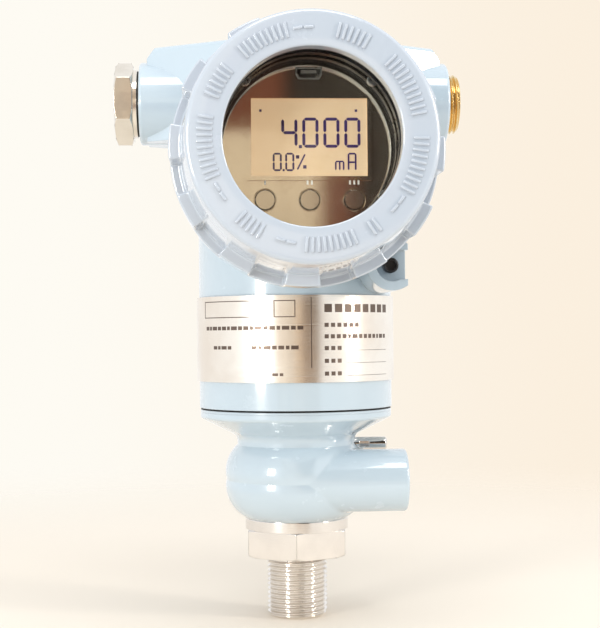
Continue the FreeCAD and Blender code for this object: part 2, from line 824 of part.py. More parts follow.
def window_glass():
    return turned([
        (0, -glass_front), (glass_radius - edge_break, -glass_front),
        (glass_radius, -glass_front + edge_break),
        (glass_radius, -glass_back - edge_break), (glass_radius - edge_break, -glass_back), (0, -glass_back),
    ], V(0, 0, cover_axis_height), BACK)


def glass_ring():
    body = ring(glass_radius, ring_inner_radius, ring_thickness, front_at(glass_back), BACK)
    for side in (-1, 1):
        width = glass_radius - ring_inner_radius + 2 * past
        x = side * (ring_inner_radius + glass_radius) / 2 - width / 2
        notch = block(width, ring_notch / 2, ring_notch,
                      V(x, -ring_back - ring_notch / 2, cover_axis_height - ring_notch / 2))
        body = body.cut(notch)
    return body


def cover_o_ring():
    centre = screw_neck_radius + running + seal_section
    return Part.makeTorus(centre, seal_section, front_at(barrel_front + running + seal_section), BACK)


# ================================================================ display module

def lcd_block(grow, front, depth):
    """Rectangle on the display's centre, grown on every side."""
    width = lcd_width + 2 * grow
    height = lcd_height + 2 * grow
    return block(width, depth, height,
                 V(-width / 2, -front, cover_axis_height + lcd_rise - height / 2))


def usb_outline(grow, front, depth):
    """Socket outline: wide at the top, narrower below."""
    half = usb_width / 2 + grow
    top = cover_axis_height + usb_rise + usb_height / 2 + grow
    low = cover_axis_height + usb_rise - usb_height / 2 - grow
    knee = low + usb_knee_height
    narrow = half - usb_knee_inset
    points = [(-half, top), (half, top), (half, knee), (narrow, low), (-narrow, low), (-half, knee)]
    points.append(points[0])
    outline = Part.makePolygon([V(x, -front, z) for x, z in points])
    return Part.Face(outline).extrude(V(0, depth, 0))


def key_place(index):
    return key_pitch * (index - 1), cover_axis_height - key_drop


def faceplate():
    plate = rod(display_radius, faceplate_thickness, front_at(display_front), BACK)
    plate = plate.cut(lcd_block(seat, display_front, faceplate_thickness))
    plate = plate.cut(usb_outline(seat, display_front, faceplate_thickness))
    for index in range(3):
        x, z = key_place(index)
        plate = plate.cut(rod(key_radius + apart, faceplate_thickness, front_at(display_front, x, z), BACK))
    for angle in spacer_angles:
        x, z = on_circle(spacer_circle, angle)
        hole = rod(face_screw_radius + seat, faceplate_thickness, front_at(display_front, x, z), BACK)
        plate = plate.cut(hole)
    return plate


def lcd_frame():
    front = display_front + frame_height
    return lcd_block(frame_border, front, frame_height).cut(lcd_block(seat, front, frame_height))


def lcd_panel():
    front = display_front - lcd_recess
    step = display_front - faceplate_thickness
    glass = lcd_block(0.0, front, lcd_thickness)
    back = lcd_block(lcd_border, step, lcd_thickness - front + step)
    return fused(glass, [back])


def usb_socket():
    front = display_front - seat
    outside = usb_outline(0.0, front, usb_depth)
    inside = usb_outline(-usb_wall, front, usb_depth - usb_floor)
    tongue = block(usb_tongue_width, usb_depth - usb_floor - usb_tongue_inset, usb_tongue_thickness,
                   V(-usb_tongue_width / 2, -front + usb_tongue_inset,
                     cover_axis_height + usb_rise + usb_tongue_rise))
    return fused(outside.cut(inside), [tongue])


def display_case():
    """Open shell behind the faceplate, with a spigot that snaps into the turn ring."""
    front = display_front - faceplate_thickness
    inner = display_radius - case_wall
    spigot_inner = case_spigot_radius - case_spigot_wall
    lip_radius = case_spigot_radius + running + case_lip
    lip_front = ledge_front - apart
    lip_back = lip_front - case_lip_thickness
    return turned([
        (inner, -front), (display_radius, -front), (display_radius, -case_back),
        (case_spigot_radius, -case_back), (case_spigot_radius, -lip_front), (lip_radius, -lip_front),
        (case_spigot_radius, -lip_back), (spigot_inner, -lip_back), (spigot_inner, -case_back - case_floor),
        (inner, -case_back - case_floor),
    ], V(0, 0, cover_axis_height), BACK)


def round_board(gap):
    low = display_front - faceplate_thickness - gap
    board = rod(board_radius, board_thickness, front_at(low), BACK)
    for angle in spacer_angles:
        x, z = on_circle(spacer_circle, angle)
        board = board.cut(rod(face_screw_radius + seat, board_thickness, front_at(low, x, z), BACK))
    return board


def logic_board():
    depth = display_front - faceplate_thickness - logic_board_gap
    return round_board(logic_board_gap).cut(usb_outline(seat, depth, board_thickness))


def power_board():
    return round_board(power_board_gap)


def display_spacers():
    """Threaded posts between the faceplate, both boards and the floor of the case."""
    plate_back = display_front - faceplate_thickness
    spans = [
        (plate_back, plate_back - logic_board_gap),
        (plate_back - logic_board_gap - board_thickness, plate_back - power_board_gap),
        (plate_back - power_board_gap - board_thickness, case_back + case_floor),
    ]
    posts = []
    for start, end in spans:
        for angle in spacer_angles:
            x, z = on_circle(spacer_circle, angle)
            post = hex_bar(2 * spacer_radius, start - end, front_at(start, x, z), BACK, angle)
            bore = rod(face_screw_radius + seat, start - end, front_at(start, x, z), BACK)
            posts.append(post.cut(bore))
    return Part.makeCompound(posts)


def display_screws():
    screws = []
    length = faceplate_thickness + power_board_gap
    for angle in spacer_angles:
        x, z = on_circle(spacer_circle, angle)
        head_front = display_front + face_screw_head_height
        head = rod(face_screw_head, face_screw_head_height, front_at(head_front, x, z), BACK)
        slot = block(2 * face_screw_head, slot_depth, slot_width,
                     V(x - face_screw_head, -head_front, z - slot_width / 2))
        shank = rod(face_screw_radius, length, front_at(display_front, x, z), BACK)
        screws.append(fused(head, [shank]).cut(slot))
    return Part.makeCompound(screws)


def key_switches():
    """Tactile switches on the logic board, one behind each key."""
    board_front = display_front - faceplate_thickness - logic_board_gap
    switches = []
    for index in range(3):
        x, z = key_place(index)
        front = board_front + switch_height
        switches.append(block(switch_size, switch_height, switch_size,
                              V(x - switch_size / 2, -front, z - switch_size / 2)))
    return Part.makeCompound(switches)


def key(index):
    """Push key: round cap through the faceplate, flange behind it, stem to its switch."""
    x, z = key_place(index)
    cap_front = display_front + key_proud
    plate_back = display_front - faceplate_thickness
    flange_front = plate_back - seat
    flange_back = flange_front - key_flange_thickness
    stem_back = plate_back - logic_board_gap + switch_height + key_travel + apart
    return turned([
        (0, -cap_front), (key_radius - key_edge, -cap_front), (key_radius, -cap_front + key_edge),
        (key_radius, -flange_front), (key_flange_radius, -flange_front), (key_flange_radius, -flange_back),
        (key_stem_radius, -flange_back), (key_stem_radius, -stem_back), (0, -stem_back),
    ], V(x, 0, z), BACK)


def turn_ring():
    """Ring screwed to the ledge of the barrel, in which the display module turns."""
    front = ledge_front + turn_ring_thickness
    body = ring(ring_outer_radius, case_spigot_radius + running, turn_ring_thickness, front_at(front), BACK)
    for angle in ring_screw_angles:
        x, z = on_circle(ring_screw_circle, angle)
        body = body.cut(rod(ring_screw_radius + seat, turn_ring_thickness, front_at(front, x, z), BACK))
        sink = rod(ring_screw_head + seat, ring_screw_head_height + seat, front_at(front, x, z), BACK)
        body = body.cut(sink)
    return body


def turn_ring_screws():
    screws = []
    head_back = ledge_front + turn_ring_thickness - ring_screw_head_height - seat
    for angle in ring_screw_angles:
        x, z = on_circle(ring_screw_circle, angle)
        head_front = head_back + ring_screw_head_height
        head = rod(ring_screw_head, ring_screw_head_height, front_at(head_front, x, z), BACK)
        length = head_back - ledge_front + ring_screw_depth
        shank = rod(ring_screw_radius, length, front_at(head_back, x, z), BACK)
        screws.append(fused(head, [shank]))
    return Part.makeCompound(screws)


# ================================================================ wiring chamber

def terminal_block():
    back = barrel_floor - terminal_post
    height = cover_axis_height - terminal_drop
    base = block(terminal_width, terminal_depth, terminal_height,
                 V(-terminal_width / 2, back - terminal_depth, height - terminal_height / 2))
    for index in range(terminal_count):
        x = terminal_pitch * (index - (terminal_count - 1) / 2.0)
        half = (terminal_pitch - terminal_wall) / 2
        pocket = block(2 * half, terminal_pocket, terminal_height - 2 * terminal_wall,
                       V(x - half, back - terminal_depth, height - terminal_height / 2 + terminal_wall))
        base = base.cut(pocket)
    return base


def terminal_screws():
    screws = []
    height = cover_axis_height - terminal_drop
    floor = barrel_floor - terminal_post - terminal_depth + terminal_pocket
    for index in range(terminal_count):
        x = terminal_pitch * (index - (terminal_count - 1) / 2.0)
        front = V(x, floor - terminal_screw_height, height)
        head = rod(terminal_screw_radius, terminal_screw_height, front, BACK)
        slot = block(2 * terminal_screw_radius, slot_depth, slot_width,
                     V(x - terminal_screw_radius, front.y, height - slot_width / 2))
        screws.append(head.cut(slot))
    return Part.makeCompound(screws)


def earth_screw():
    washer_front = barrel_floor - earth_washer_thickness
    head_front = washer_front - earth_head_height
    screw = turned([
        (0, head_front), (earth_head_radius - edge_break, head_front),
        (earth_head_radius, head_front + edge_break),
        (earth_head_radius, washer_front), (earth_washer_radius, washer_front),
        (earth_washer_radius, barrel_floor), (earth_screw_radius, barrel_floor),
        (earth_screw_radius, barrel_floor + earth_depth), (0, barrel_floor + earth_depth),
    ], V(earth_x, 0, earth_z), BACK)
    slot = block(2 * earth_head_radius, slot_depth, slot_width,
                 V(earth_x - earth_head_radius, head_front, earth_z - slot_width / 2))
    return screw.cut(slot)


# ================================================================ conduit plug and cable fitting

def plug_gasket():
    start = V(-entry_reach, 0, entry_height)
    return ring(plug_gasket_radius, entry_bore_radius, plug_gasket_thickness, start, V(-1, 0, 0))


def plug_washer():
    start = V(-entry_reach - plug_gasket_thickness, 0, entry_height)
    return ring(plug_washer_radius, entry_bore_radius, plug_washer_thickness, start, V(-1, 0, 0))


def conduit_plug():
    under_head = entry_reach + plug_gasket_thickness + plug_washer_thickness
    outward = V(-1, 0, 0)
    head = chamfered_hex(plug_flats, plug_hex_length, plug_chamfer, True, V(-under_head, 0, entry_height),
                         outward, plug_turn)
    thread = entry_bore_radius - running
    start = entry_reach - plug_engaged
    shank = turned([
        (0, start), (thread - thread_lead, start), (thread, start + thread_lead),
        (thread, under_head + past), (0, under_head + past),
    ], V(0, 0, entry_height), outward)
    end = under_head + plug_hex_length
    pip = rod(plug_pip_radius, plug_pip_length + past, V(past - end, 0, entry_height), outward)
    return fused(head, [shank, pip])


def cable_fitting():
    outer = entry_bore_radius - running
    start = entry_reach - fitting_engaged
    end = entry_reach + fitting_proud
    return turned([
        (fitting_bore_radius, start), (outer - thread_lead, start), (outer, start + thread_lead),
        (outer, end - thread_lead), (outer - thread_lead, end),
        (fitting_bore_radius + fitting_bore_chamfer, end), (fitting_bore_radius, end - fitting_bore_chamfer),
    ], V(0, 0, entry_height), RIGHT)


def cable_grommet():
    return ring(entry_bore_radius - seat, grommet_bore_radius, grommet_length,
                V(entry_bore_stop + seat, 0, entry_height), RIGHT)


def grommet_washer():
    start = entry_bore_stop + seat + grommet_length
    return ring(entry_bore_radius - seat, fitting_bore_radius, grommet_washer_thickness,
                V(start, 0, entry_height), RIGHT)


PARTS = {
    "process_connection": process_connection,
    "shank_o_ring": shank_o_ring,
    "isolating_diaphragm": isolating_diaphragm,
    "sensor_capsule": sensor_capsule,
    "sensor_casting": sensor_casting,
    "neck_screw": neck_screw,
    "seam_o_ring": seam_o_ring,
    "sensor_board": sensor_board,
    "sensor_spacers": sensor_spacers,
    "sensor_board_screws": sensor_board_screws,
    "sensor_header": sensor_header,
    "housing_body": housing_body,
    "housing_head": housing_head,
    "left_conduit_entry": lambda: conduit_entry(-1),
    "right_conduit_entry": lambda: conduit_entry(1),
    "nameplate_band": nameplate_band,
    "nameplate_rivets": nameplate_rivets,
    "cover_lock_screw": cover_lock_screw,
    "cover_shell": cover_shell,
    "window_gasket": window_gasket,
    "window_glass": window_glass,
    "glass_ring": glass_ring,
    "cover_o_ring": cover_o_ring,
    "faceplate": faceplate,
    "lcd_frame": lcd_frame,
    "lcd_panel": lcd_panel,
    "usb_socket": usb_socket,
    "display_case": display_case,
    "logic_board": logic_board,
    "power_board": power_board,
    "display_spacers": display_spacers,
    "display_screws": display_screws,
    "key_switches": key_switches,
    "key_left": lambda: key(0),
    "key_middle": lambda: key(1),
    "key_right": lambda: key(2),
    "turn_ring": turn_ring,
    "turn_ring_screws": turn_ring_screws,
    "terminal_block": terminal_block,
    "terminal_screws": terminal_screws,
    "earth_screw": earth_screw,
    "plug_gasket": plug_gasket,
    "plug_washer": plug_washer,
    "conduit_plug": conduit_plug,
    "cable_fitting": cable_fitting,
    "cable_grommet": cable_grommet,
    "grommet_washer": grommet_washer,
}


os.makedirs("parts", exist_ok=True)
for name, make in PARTS.items():
    shape = make()
    if not shape.isValid():
        print("not valid:", name)
    shape.exportStep("parts/" + name + ".step")
    box = shape.BoundBox
    print("%-20s %2d solid(s) %9.1f mm3  x %.1f %.1f  y %.1f %.1f  z %.1f %.1f" % (
        name, len(shape.Solids), shape.Volume, box.XMin, box.XMax, box.YMin, box.YMax, box.ZMin, box.ZMax))
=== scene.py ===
import bpy
import json
import math
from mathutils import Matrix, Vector


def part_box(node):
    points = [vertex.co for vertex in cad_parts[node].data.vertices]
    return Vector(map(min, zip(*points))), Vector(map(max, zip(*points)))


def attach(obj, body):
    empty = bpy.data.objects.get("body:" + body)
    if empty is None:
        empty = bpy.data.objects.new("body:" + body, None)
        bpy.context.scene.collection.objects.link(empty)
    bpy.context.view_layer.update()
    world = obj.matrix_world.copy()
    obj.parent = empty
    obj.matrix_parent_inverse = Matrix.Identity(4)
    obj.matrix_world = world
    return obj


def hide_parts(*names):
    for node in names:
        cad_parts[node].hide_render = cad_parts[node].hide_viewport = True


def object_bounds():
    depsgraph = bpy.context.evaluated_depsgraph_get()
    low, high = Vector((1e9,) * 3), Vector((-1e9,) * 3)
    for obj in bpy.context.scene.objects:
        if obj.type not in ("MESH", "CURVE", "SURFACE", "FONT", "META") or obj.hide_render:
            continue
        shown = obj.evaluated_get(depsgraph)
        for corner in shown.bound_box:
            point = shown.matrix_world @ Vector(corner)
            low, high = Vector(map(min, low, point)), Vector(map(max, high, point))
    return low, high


# Pressure transmitter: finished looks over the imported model. The scene is in metres. Shapes are written in
# millimetres and turned into metres with MM; finishes, lamps and the room are written in metres.

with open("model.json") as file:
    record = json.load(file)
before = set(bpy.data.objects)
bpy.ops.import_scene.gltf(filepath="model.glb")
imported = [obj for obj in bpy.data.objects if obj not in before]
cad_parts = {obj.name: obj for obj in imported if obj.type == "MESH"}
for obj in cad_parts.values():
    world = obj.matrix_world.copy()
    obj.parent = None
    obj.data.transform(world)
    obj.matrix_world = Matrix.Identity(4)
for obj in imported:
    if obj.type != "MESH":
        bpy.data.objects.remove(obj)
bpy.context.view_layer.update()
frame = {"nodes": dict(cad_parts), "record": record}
MM = 0.001
nodes = frame["nodes"]

window_low, window_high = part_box("window_glass")
entry_low, entry_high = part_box("cable_fitting")
AXIS_Z = ((window_low + window_high) / 2).z
ENTRY_Z = (entry_low.z + entry_high.z) / 2
AXIS = (0, 0, AXIS_Z)                  # a place on the cover's axis
ENTRY = (0, 0, ENTRY_Z)                # a place on the axis of the conduit entries
FORWARD = (math.radians(90), 0, 0)     # turns that point a piece's own Z forwards, right or left
TO_RIGHT = (0, math.radians(90), 0)
TO_LEFT = (0, math.radians(-90), 0)

MERGE_WITHIN = 0.000004                # corners nearer than this become one
FILLET_STEPS = 5                       # straight runs in a filleted corner of an outline
EDGE_STEPS = 2                         # facets across a small broken edge
ROUND_BELOW = 32.0                     # a turned outline is smoothed where faces meet at less, in degrees
CRISP_BELOW = 30.0                     # the same for machined pieces and for marks
CAST_BELOW = 40.0                      # the same for castings
HEXAGON_EDGES = 25.0                   # a hexagon's edges are broken where faces meet at more, in degrees
THREAD_PITCH = 1.5
THREAD_DEPTH = 0.61                    # depth of a thread and lengths of its tooth, as shares of the pitch
THREAD_ROOT, THREAD_FLANK, THREAD_CREST = 0.16, 0.35, 0.14


# ---------------------------------------------------------------- workshop
def put_down():
    """Leaves edit mode with nothing selected."""
    active = bpy.context.view_layer.objects.active
    if active is not None and active.mode != "OBJECT":
        bpy.ops.object.mode_set(mode="OBJECT")
    bpy.ops.object.select_all(action="DESELECT")


def take(piece):
    """Makes one piece the only one in hand."""
    put_down()
    piece.select_set(True)
    bpy.context.view_layer.objects.active = piece
    return piece


def pick_faces(piece, wanted):
    """Edit mode with the faces selected whose centre and normal pass the test."""
    take(piece)
    bpy.ops.object.mode_set(mode="EDIT")
    bpy.ops.mesh.select_mode(type="FACE")
    bpy.ops.mesh.select_all(action="DESELECT")
    bpy.ops.object.mode_set(mode="OBJECT")
    for face in piece.data.polygons:
        face.select = wanted(face.center, face.normal)
    bpy.ops.object.mode_set(mode="EDIT")


def pick_corners(piece, wanted):
    """Edit mode with the corners selected whose place passes the test."""
    take(piece)
    bpy.ops.object.mode_set(mode="EDIT")
    bpy.ops.mesh.select_mode(type="VERT")
    bpy.ops.mesh.select_all(action="DESELECT")
    bpy.ops.object.mode_set(mode="OBJECT")
    for corner in piece.data.vertices:
        corner.select = wanted(corner.co)
    bpy.ops.object.mode_set(mode="EDIT")


def settle(piece, place=(0, 0, 0), turn=(0, 0, 0)):
    """Turns and moves a piece, then keeps that in its mesh."""
    take(piece)
    piece.rotation_euler = turn
    piece.location = place
    bpy.ops.object.transform_apply(location=True, rotation=True, scale=True)
    return piece


def tidy_mesh(piece, angle=ROUND_BELOW):
    """Joins doubled corners, points all faces outwards and smooths what is meant to be round."""
    take(piece)
    bpy.ops.object.mode_set(mode="EDIT")
    bpy.ops.mesh.select_all(action="SELECT")
    bpy.ops.mesh.remove_doubles(threshold=MERGE_WITHIN)
    bpy.ops.mesh.normals_make_consistent(inside=False)
    bpy.ops.object.mode_set(mode="OBJECT")
    bpy.ops.object.shade_smooth_by_angle(angle=math.radians(angle))
    return piece


def finish_with(piece, kind, **settings):
    """Adds one modifier to the piece and applies it."""
    take(piece)
    step = piece.modifiers.new(kind.title(), kind)
    for key, value in settings.items():
        setattr(step, key, value)
    bpy.ops.object.modifier_apply(modifier=step.name)
    return piece


def even_flats(piece):
    """Lets wide faces set the shading, so that they look flat right up to their rounded edges."""
    return finish_with(piece, "WEIGHTED_NORMAL", mode="FACE_AREA", weight=50, keep_sharp=True)


def break_edges(piece, width, segments, angle):
    """Rounds the edges whose faces meet at more than an angle in degrees."""
    return finish_with(piece, "BEVEL", width=width * MM, segments=segments, limit_method="ANGLE",
                       angle_limit=math.radians(angle), use_clamp_overlap=False, miter_outer="MITER_ARC")


def carve(piece, tool, operation):
    """Joins a piece with a tool, or keeps what they share. The tool is then thrown away."""
    finish_with(piece, "BOOLEAN", object=tool, operation=operation, solver="EXACT")
    bpy.data.objects.remove(tool)
    return piece


def gather(name, pieces):
    """Several meshes become one piece."""
    take(pieces[0])
    for piece in pieces[1:]:
        piece.select_set(True)
    bpy.ops.object.join()
    pieces[0].name = name
    pieces[0].data.name = name
    return pieces[0]


def soft_outline(corners):
    """Outline of (radius, height) with an optional third number, the corner's fillet."""
    points = []
    for index, corner in enumerate(corners):
        here = Vector(corner[:2])
        if len(corner) < 3:
            points.append(here)
            continue
        back = Vector(corners[index - 1][:2]) - here
        on = Vector(corners[index + 1][:2]) - here
        reach = corner[2] / math.tan(back.angle(on) / 2)
        start = here + back.normalized() * reach
        end = here + on.normalized() * reach
        for step in range(FILLET_STEPS + 1):
            t = step / FILLET_STEPS
            points.append(start * (1 - t) ** 2 + here * 2 * t * (1 - t) + end * t ** 2)
    return points


def turned(name, corners, steps, closed=False):
    """Turned piece: a ring of edges drawn out and resized along its outline, in millimetres.
    closed joins the outline's end to its start; otherwise both ends are flat caps."""
    points = soft_outline(corners)
    put_down()
    first = points[0]
    bpy.ops.mesh.primitive_circle_add(
        vertices=steps, radius=first.x * MM, fill_type="NOTHING" if closed else "NGON",
        location=(0, 0, first.y * MM))
    piece = bpy.context.object
    piece.name = name
    bpy.ops.object.transform_apply(location=True, rotation=True, scale=True)
    bpy.ops.object.mode_set(mode="EDIT")
    bpy.ops.mesh.select_all(action="SELECT")
    run = points[1:] + ([points[0]] if closed else [])
    radius, height = first.x, first.y
    for point in run:
        bpy.ops.mesh.extrude_region_move(
            TRANSFORM_OT_translate={"value": (0, 0, (point.y - height) * MM)})
        grow = point.x / radius
        bpy.ops.transform.resize(value=(grow, grow, 1), center_override=(0, 0, point.y * MM))
        radius, height = point.x, point.y
    bpy.ops.object.mode_set(mode="OBJECT")
    return tidy_mesh(piece)


def bar(name, size, centre, soft=0.0):
    """Small block in millimetres, with its edges rounded by soft."""
    put_down()
    bpy.ops.mesh.primitive_cube_add(size=1, location=[value * MM for value in centre])
    piece = bpy.context.object
    piece.name = name
    piece.scale = [side * MM for side in size]
    bpy.ops.object.transform_apply(location=True, rotation=True, scale=True)
    if soft:
        bpy.ops.object.mode_set(mode="EDIT")
        bpy.ops.mesh.select_all(action="SELECT")
        bpy.ops.mesh.bevel(offset=soft * MM, segments=EDGE_STEPS)
        bpy.ops.object.mode_set(mode="OBJECT")
    return piece


def screw_thread(name, major, low, high, steps):
    """Helical thread from low to high: one tooth's outline wound up by a screw modifier, ends capped."""
    rise = THREAD_DEPTH * THREAD_PITCH
    tooth = ((0, THREAD_ROOT), (rise, THREAD_FLANK), (0, THREAD_CREST), (-rise, THREAD_FLANK))
    put_down()
    bpy.ops.mesh.primitive_plane_add(size=MM, location=(0, 0, 0))
    piece = bpy.context.object
    piece.name = name
    bpy.ops.object.mode_set(mode="EDIT")
    bpy.ops.mesh.select_all(action="SELECT")
    bpy.ops.mesh.merge(type="CENTER")
    bpy.ops.transform.translate(value=((major - rise) * MM, 0, (low - THREAD_PITCH) * MM))
    for out, up in tooth:
        bpy.ops.mesh.extrude_region_move(
            TRANSFORM_OT_translate={"value": (out * MM, 0, up * THREAD_PITCH * MM)})
    bpy.ops.object.mode_set(mode="OBJECT")
    turns = math.ceil((high - low) / THREAD_PITCH) + 2      # one turn more past each end
    finish_with(piece, "SCREW", angle=math.tau, screw_offset=THREAD_PITCH * MM, iterations=turns,
                steps=steps, render_steps=steps, axis="Z", use_merge_vertices=True,
                merge_threshold=MERGE_WITHIN)
    bpy.ops.object.mode_set(mode="EDIT")
    bpy.ops.mesh.select_all(action="SELECT")
    bpy.ops.mesh.remove_doubles(threshold=MERGE_WITHIN)
    bpy.ops.mesh.fill_holes(sides=0)
    bpy.ops.mesh.select_all(action="SELECT")
    bpy.ops.mesh.normals_make_consistent(inside=False)
    bpy.ops.object.mode_set(mode="OBJECT")
    return piece


def hexagon(name, flats, corners, corner_angle):
    """Hexagon bar, flats wide, kept inside a turned outline, so that its corners are turned off.
    corner_angle is the direction of one corner, in degrees from +X."""
    low = min(corner[1] for corner in corners)
    high = max(corner[1] for corner in corners)
    put_down()
    bpy.ops.mesh.primitive_cylinder_add(
        vertices=6, radius=flats / math.sqrt(3) * MM, depth=(high - low + 2) * MM,
        location=(0, 0, (high + low) / 2 * MM), rotation=(0, 0, math.radians(corner_angle - 90)))
    piece = bpy.context.object
    piece.name = name
    bpy.ops.object.transform_apply(location=True, rotation=True, scale=True)
    return carve(piece, turned("hexagon tool", corners, 96), "INTERSECT")


# ---------------------------------------------------------------- finishes
def colour(text):
    """Colour as a hex string, made linear."""
    out = []
    for start in (0, 2, 4):
        level = int(text[start:start + 2], 16) / 255
        out.append(level / 12.92 if level <= 0.04045 else ((level + 0.055) / 1.055) ** 2.4)
    return (*out, 1.0)


def effect(name, inputs, outputs):
    """Empty node group with named sockets."""
    group = bpy.data.node_groups.new(name, "ShaderNodeTree")
    for label, kind, value in inputs:
        socket = group.interface.new_socket(label, in_out="INPUT", socket_type="NodeSocket" + kind)
        socket.default_value = value
    for label, kind in outputs:
        group.interface.new_socket(label, in_out="OUTPUT", socket_type="NodeSocket" + kind)
    return group, group.nodes.new("NodeGroupInput"), group.nodes.new("NodeGroupOutput")


def wire(tree, given, socket):
    """Leads another node's output into a socket, or sets the socket to a number or a colour."""
    if isinstance(given, (int, float, tuple)):
        socket.default_value = given
    else:
        tree.links.new(given, socket)


def maths(tree, operation, *values, clamp=False):
    """One sum, product or other operation on one or two values."""
    node = tree.nodes.new("ShaderNodeMath")
    node.operation = operation
    node.use_clamp = clamp
    for value, socket in zip(values, node.inputs):
        wire(tree, value, socket)
    return node.outputs[0]


def product(tree, first, second):
    return maths(tree, "MULTIPLY", first, second)


def split_up(tree, vector):
    """The X, Y and Z of a vector."""
    node = tree.nodes.new("ShaderNodeSeparateXYZ")
    wire(tree, vector, node.inputs[0])
    return [node.outputs[label] for label in "XYZ"]


def distance_from_axis(tree, first, second):
    """Distance from an axis, out of the two coordinates across it."""
    squares = maths(tree, "ADD", product(tree, first, first), product(tree, second, second))
    return maths(tree, "SQRT", squares)


def cloud(tree, place, scale, detail=3.0, rough=0.5):
    """Cloudy pattern from 0 to 1. A larger scale makes it finer."""
    node = tree.nodes.new("ShaderNodeTexNoise")
    for label, given in (("Scale", scale), ("Detail", detail), ("Roughness", rough), ("Vector", place)):
        wire(tree, given, node.inputs[label])
    return node.outputs["Fac"]


def range_of(tree, value, low, high, to_low=0.0, to_high=1.0):
    """Soft step: to_low up to low, to_high from high on."""
    node = tree.nodes.new("ShaderNodeMapRange")
    node.interpolation_type = "SMOOTHSTEP"
    for label, given in (("Value", value), ("From Min", low), ("From Max", high),
                         ("To Min", to_low), ("To Max", to_high)):
        wire(tree, given, node.inputs[label])
    return node.outputs["Result"]


def blend_colours(tree, amount, first, second):
    """The first colour where amount is 0, the second where it is 1."""
    node = tree.nodes.new("ShaderNodeMix")
    node.data_type = "RGBA"
    for label, given in (("Factor", amount), ("A", first), ("B", second)):
        wire(tree, given, node.inputs[label])
    return node.outputs["Result"]


def blend_shaders(tree, amount, first, second):
    """The first shader where amount is 0, the second where it is 1."""
    node = tree.nodes.new("ShaderNodeMixShader")
    for given, socket in zip((amount, first, second), node.inputs):
        wire(tree, given, socket)
    return node.outputs[0]


def make_cast_skin():
    """Powder coat on a casting: fine orange peel, slow waves of the metal under it, faint handling marks."""
    group, given, out = effect(
        "cast skin",
        [("Vector", "Vector", (0, 0, 0)), ("Peel Scale", "Float", 900.0), ("Wave Scale", "Float", 60.0)],
        [("Height", "Float"), ("Marks", "Float")])
    peel = cloud(group, given.outputs["Vector"], given.outputs["Peel Scale"], detail=2.0)
    wave = cloud(group, given.outputs["Vector"], given.outputs["Wave Scale"], detail=1.0)
    wire(group, maths(group, "ADD", product(group, peel, 0.35), wave), out.inputs["Height"])
    handled = cloud(group, given.outputs["Vector"], scale=140.0, detail=5.0, rough=0.62)
    wire(group, range_of(group, handled, 0.46, 0.78), out.inputs["Marks"])
    return group


def make_soft_edges():
    """Rounded normals along edges, and a mask of where those edges are."""
    group, given, out = effect(
        "soft edges", [("Radius", "Float", 0.0004)], [("Normal", "Vector"), ("Edge", "Float")])
    bevel = group.nodes.new("ShaderNodeBevel")
    bevel.samples = 6
    wire(group, given.outputs["Radius"], bevel.inputs["Radius"])
    shape = group.nodes.new("ShaderNodeNewGeometry")
    dot = group.nodes.new("ShaderNodeVectorMath")
    dot.operation = "DOT_PRODUCT"
    wire(group, bevel.outputs["Normal"], dot.inputs[0])
    wire(group, shape.outputs["Normal"], dot.inputs[1])
    wire(group, range_of(group, dot.outputs["Value"], 0.99, 0.80), out.inputs["Edge"])
    wire(group, bevel.outputs["Normal"], out.inputs["Normal"])
    return group


def make_lathe_marks():
    """Fine rings left by a turning tool about the piece's own axis, with slow changes of sheen."""
    group, given, out = effect(
        "lathe marks", [("Vector", "Vector", (0, 0, 0)), ("Fineness", "Float", 2600.0)],
        [("Height", "Float"), ("Sheen", "Float")])
    x, y, z = split_up(group, given.outputs["Vector"])
    join = group.nodes.new("ShaderNodeCombineXYZ")
    wire(group, distance_from_axis(group, x, y), join.inputs["X"])
    wire(group, z, join.inputs["Z"])
    rings = cloud(group, join.outputs[0], given.outputs["Fineness"], detail=1.0)
    wire(group, rings, out.inputs["Height"])
    patches = cloud(group, given.outputs["Vector"], scale=90.0, detail=4.0)
    wire(group, range_of(group, patches, 0.35, 0.7), out.inputs["Sheen"])
    return group


def make_brush_lines():
    """Fine scratches of brushed sheet: long about the band, close together up its height."""
    group, given, out = effect(
        "brush lines",
        [("Vector", "Vector", (0, 0, 0)), ("Length", "Float", 18.0), ("Fineness", "Float", 3200.0)],
        [("Height", "Float"), ("Sheen", "Float")])
    join = group.nodes.new("ShaderNodeCombineXYZ")
    coordinates = split_up(group, given.outputs["Vector"])
    for value, label, socket in zip(coordinates, ("Length", "Length", "Fineness"), join.inputs):
        wire(group, product(group, value, given.outputs[label]), socket)
    wire(group, cloud(group, join.outputs[0], scale=1.0), out.inputs["Height"])
    patches = cloud(group, given.outputs["Vector"], scale=45.0)
    wire(group, range_of(group, patches, 0.35, 0.7), out.inputs["Sheen"])
    return group


CAST_SKIN = make_cast_skin()
SOFT_EDGES = make_soft_edges()
LATHE_MARKS = make_lathe_marks()
BRUSH_LINES = make_brush_lines()


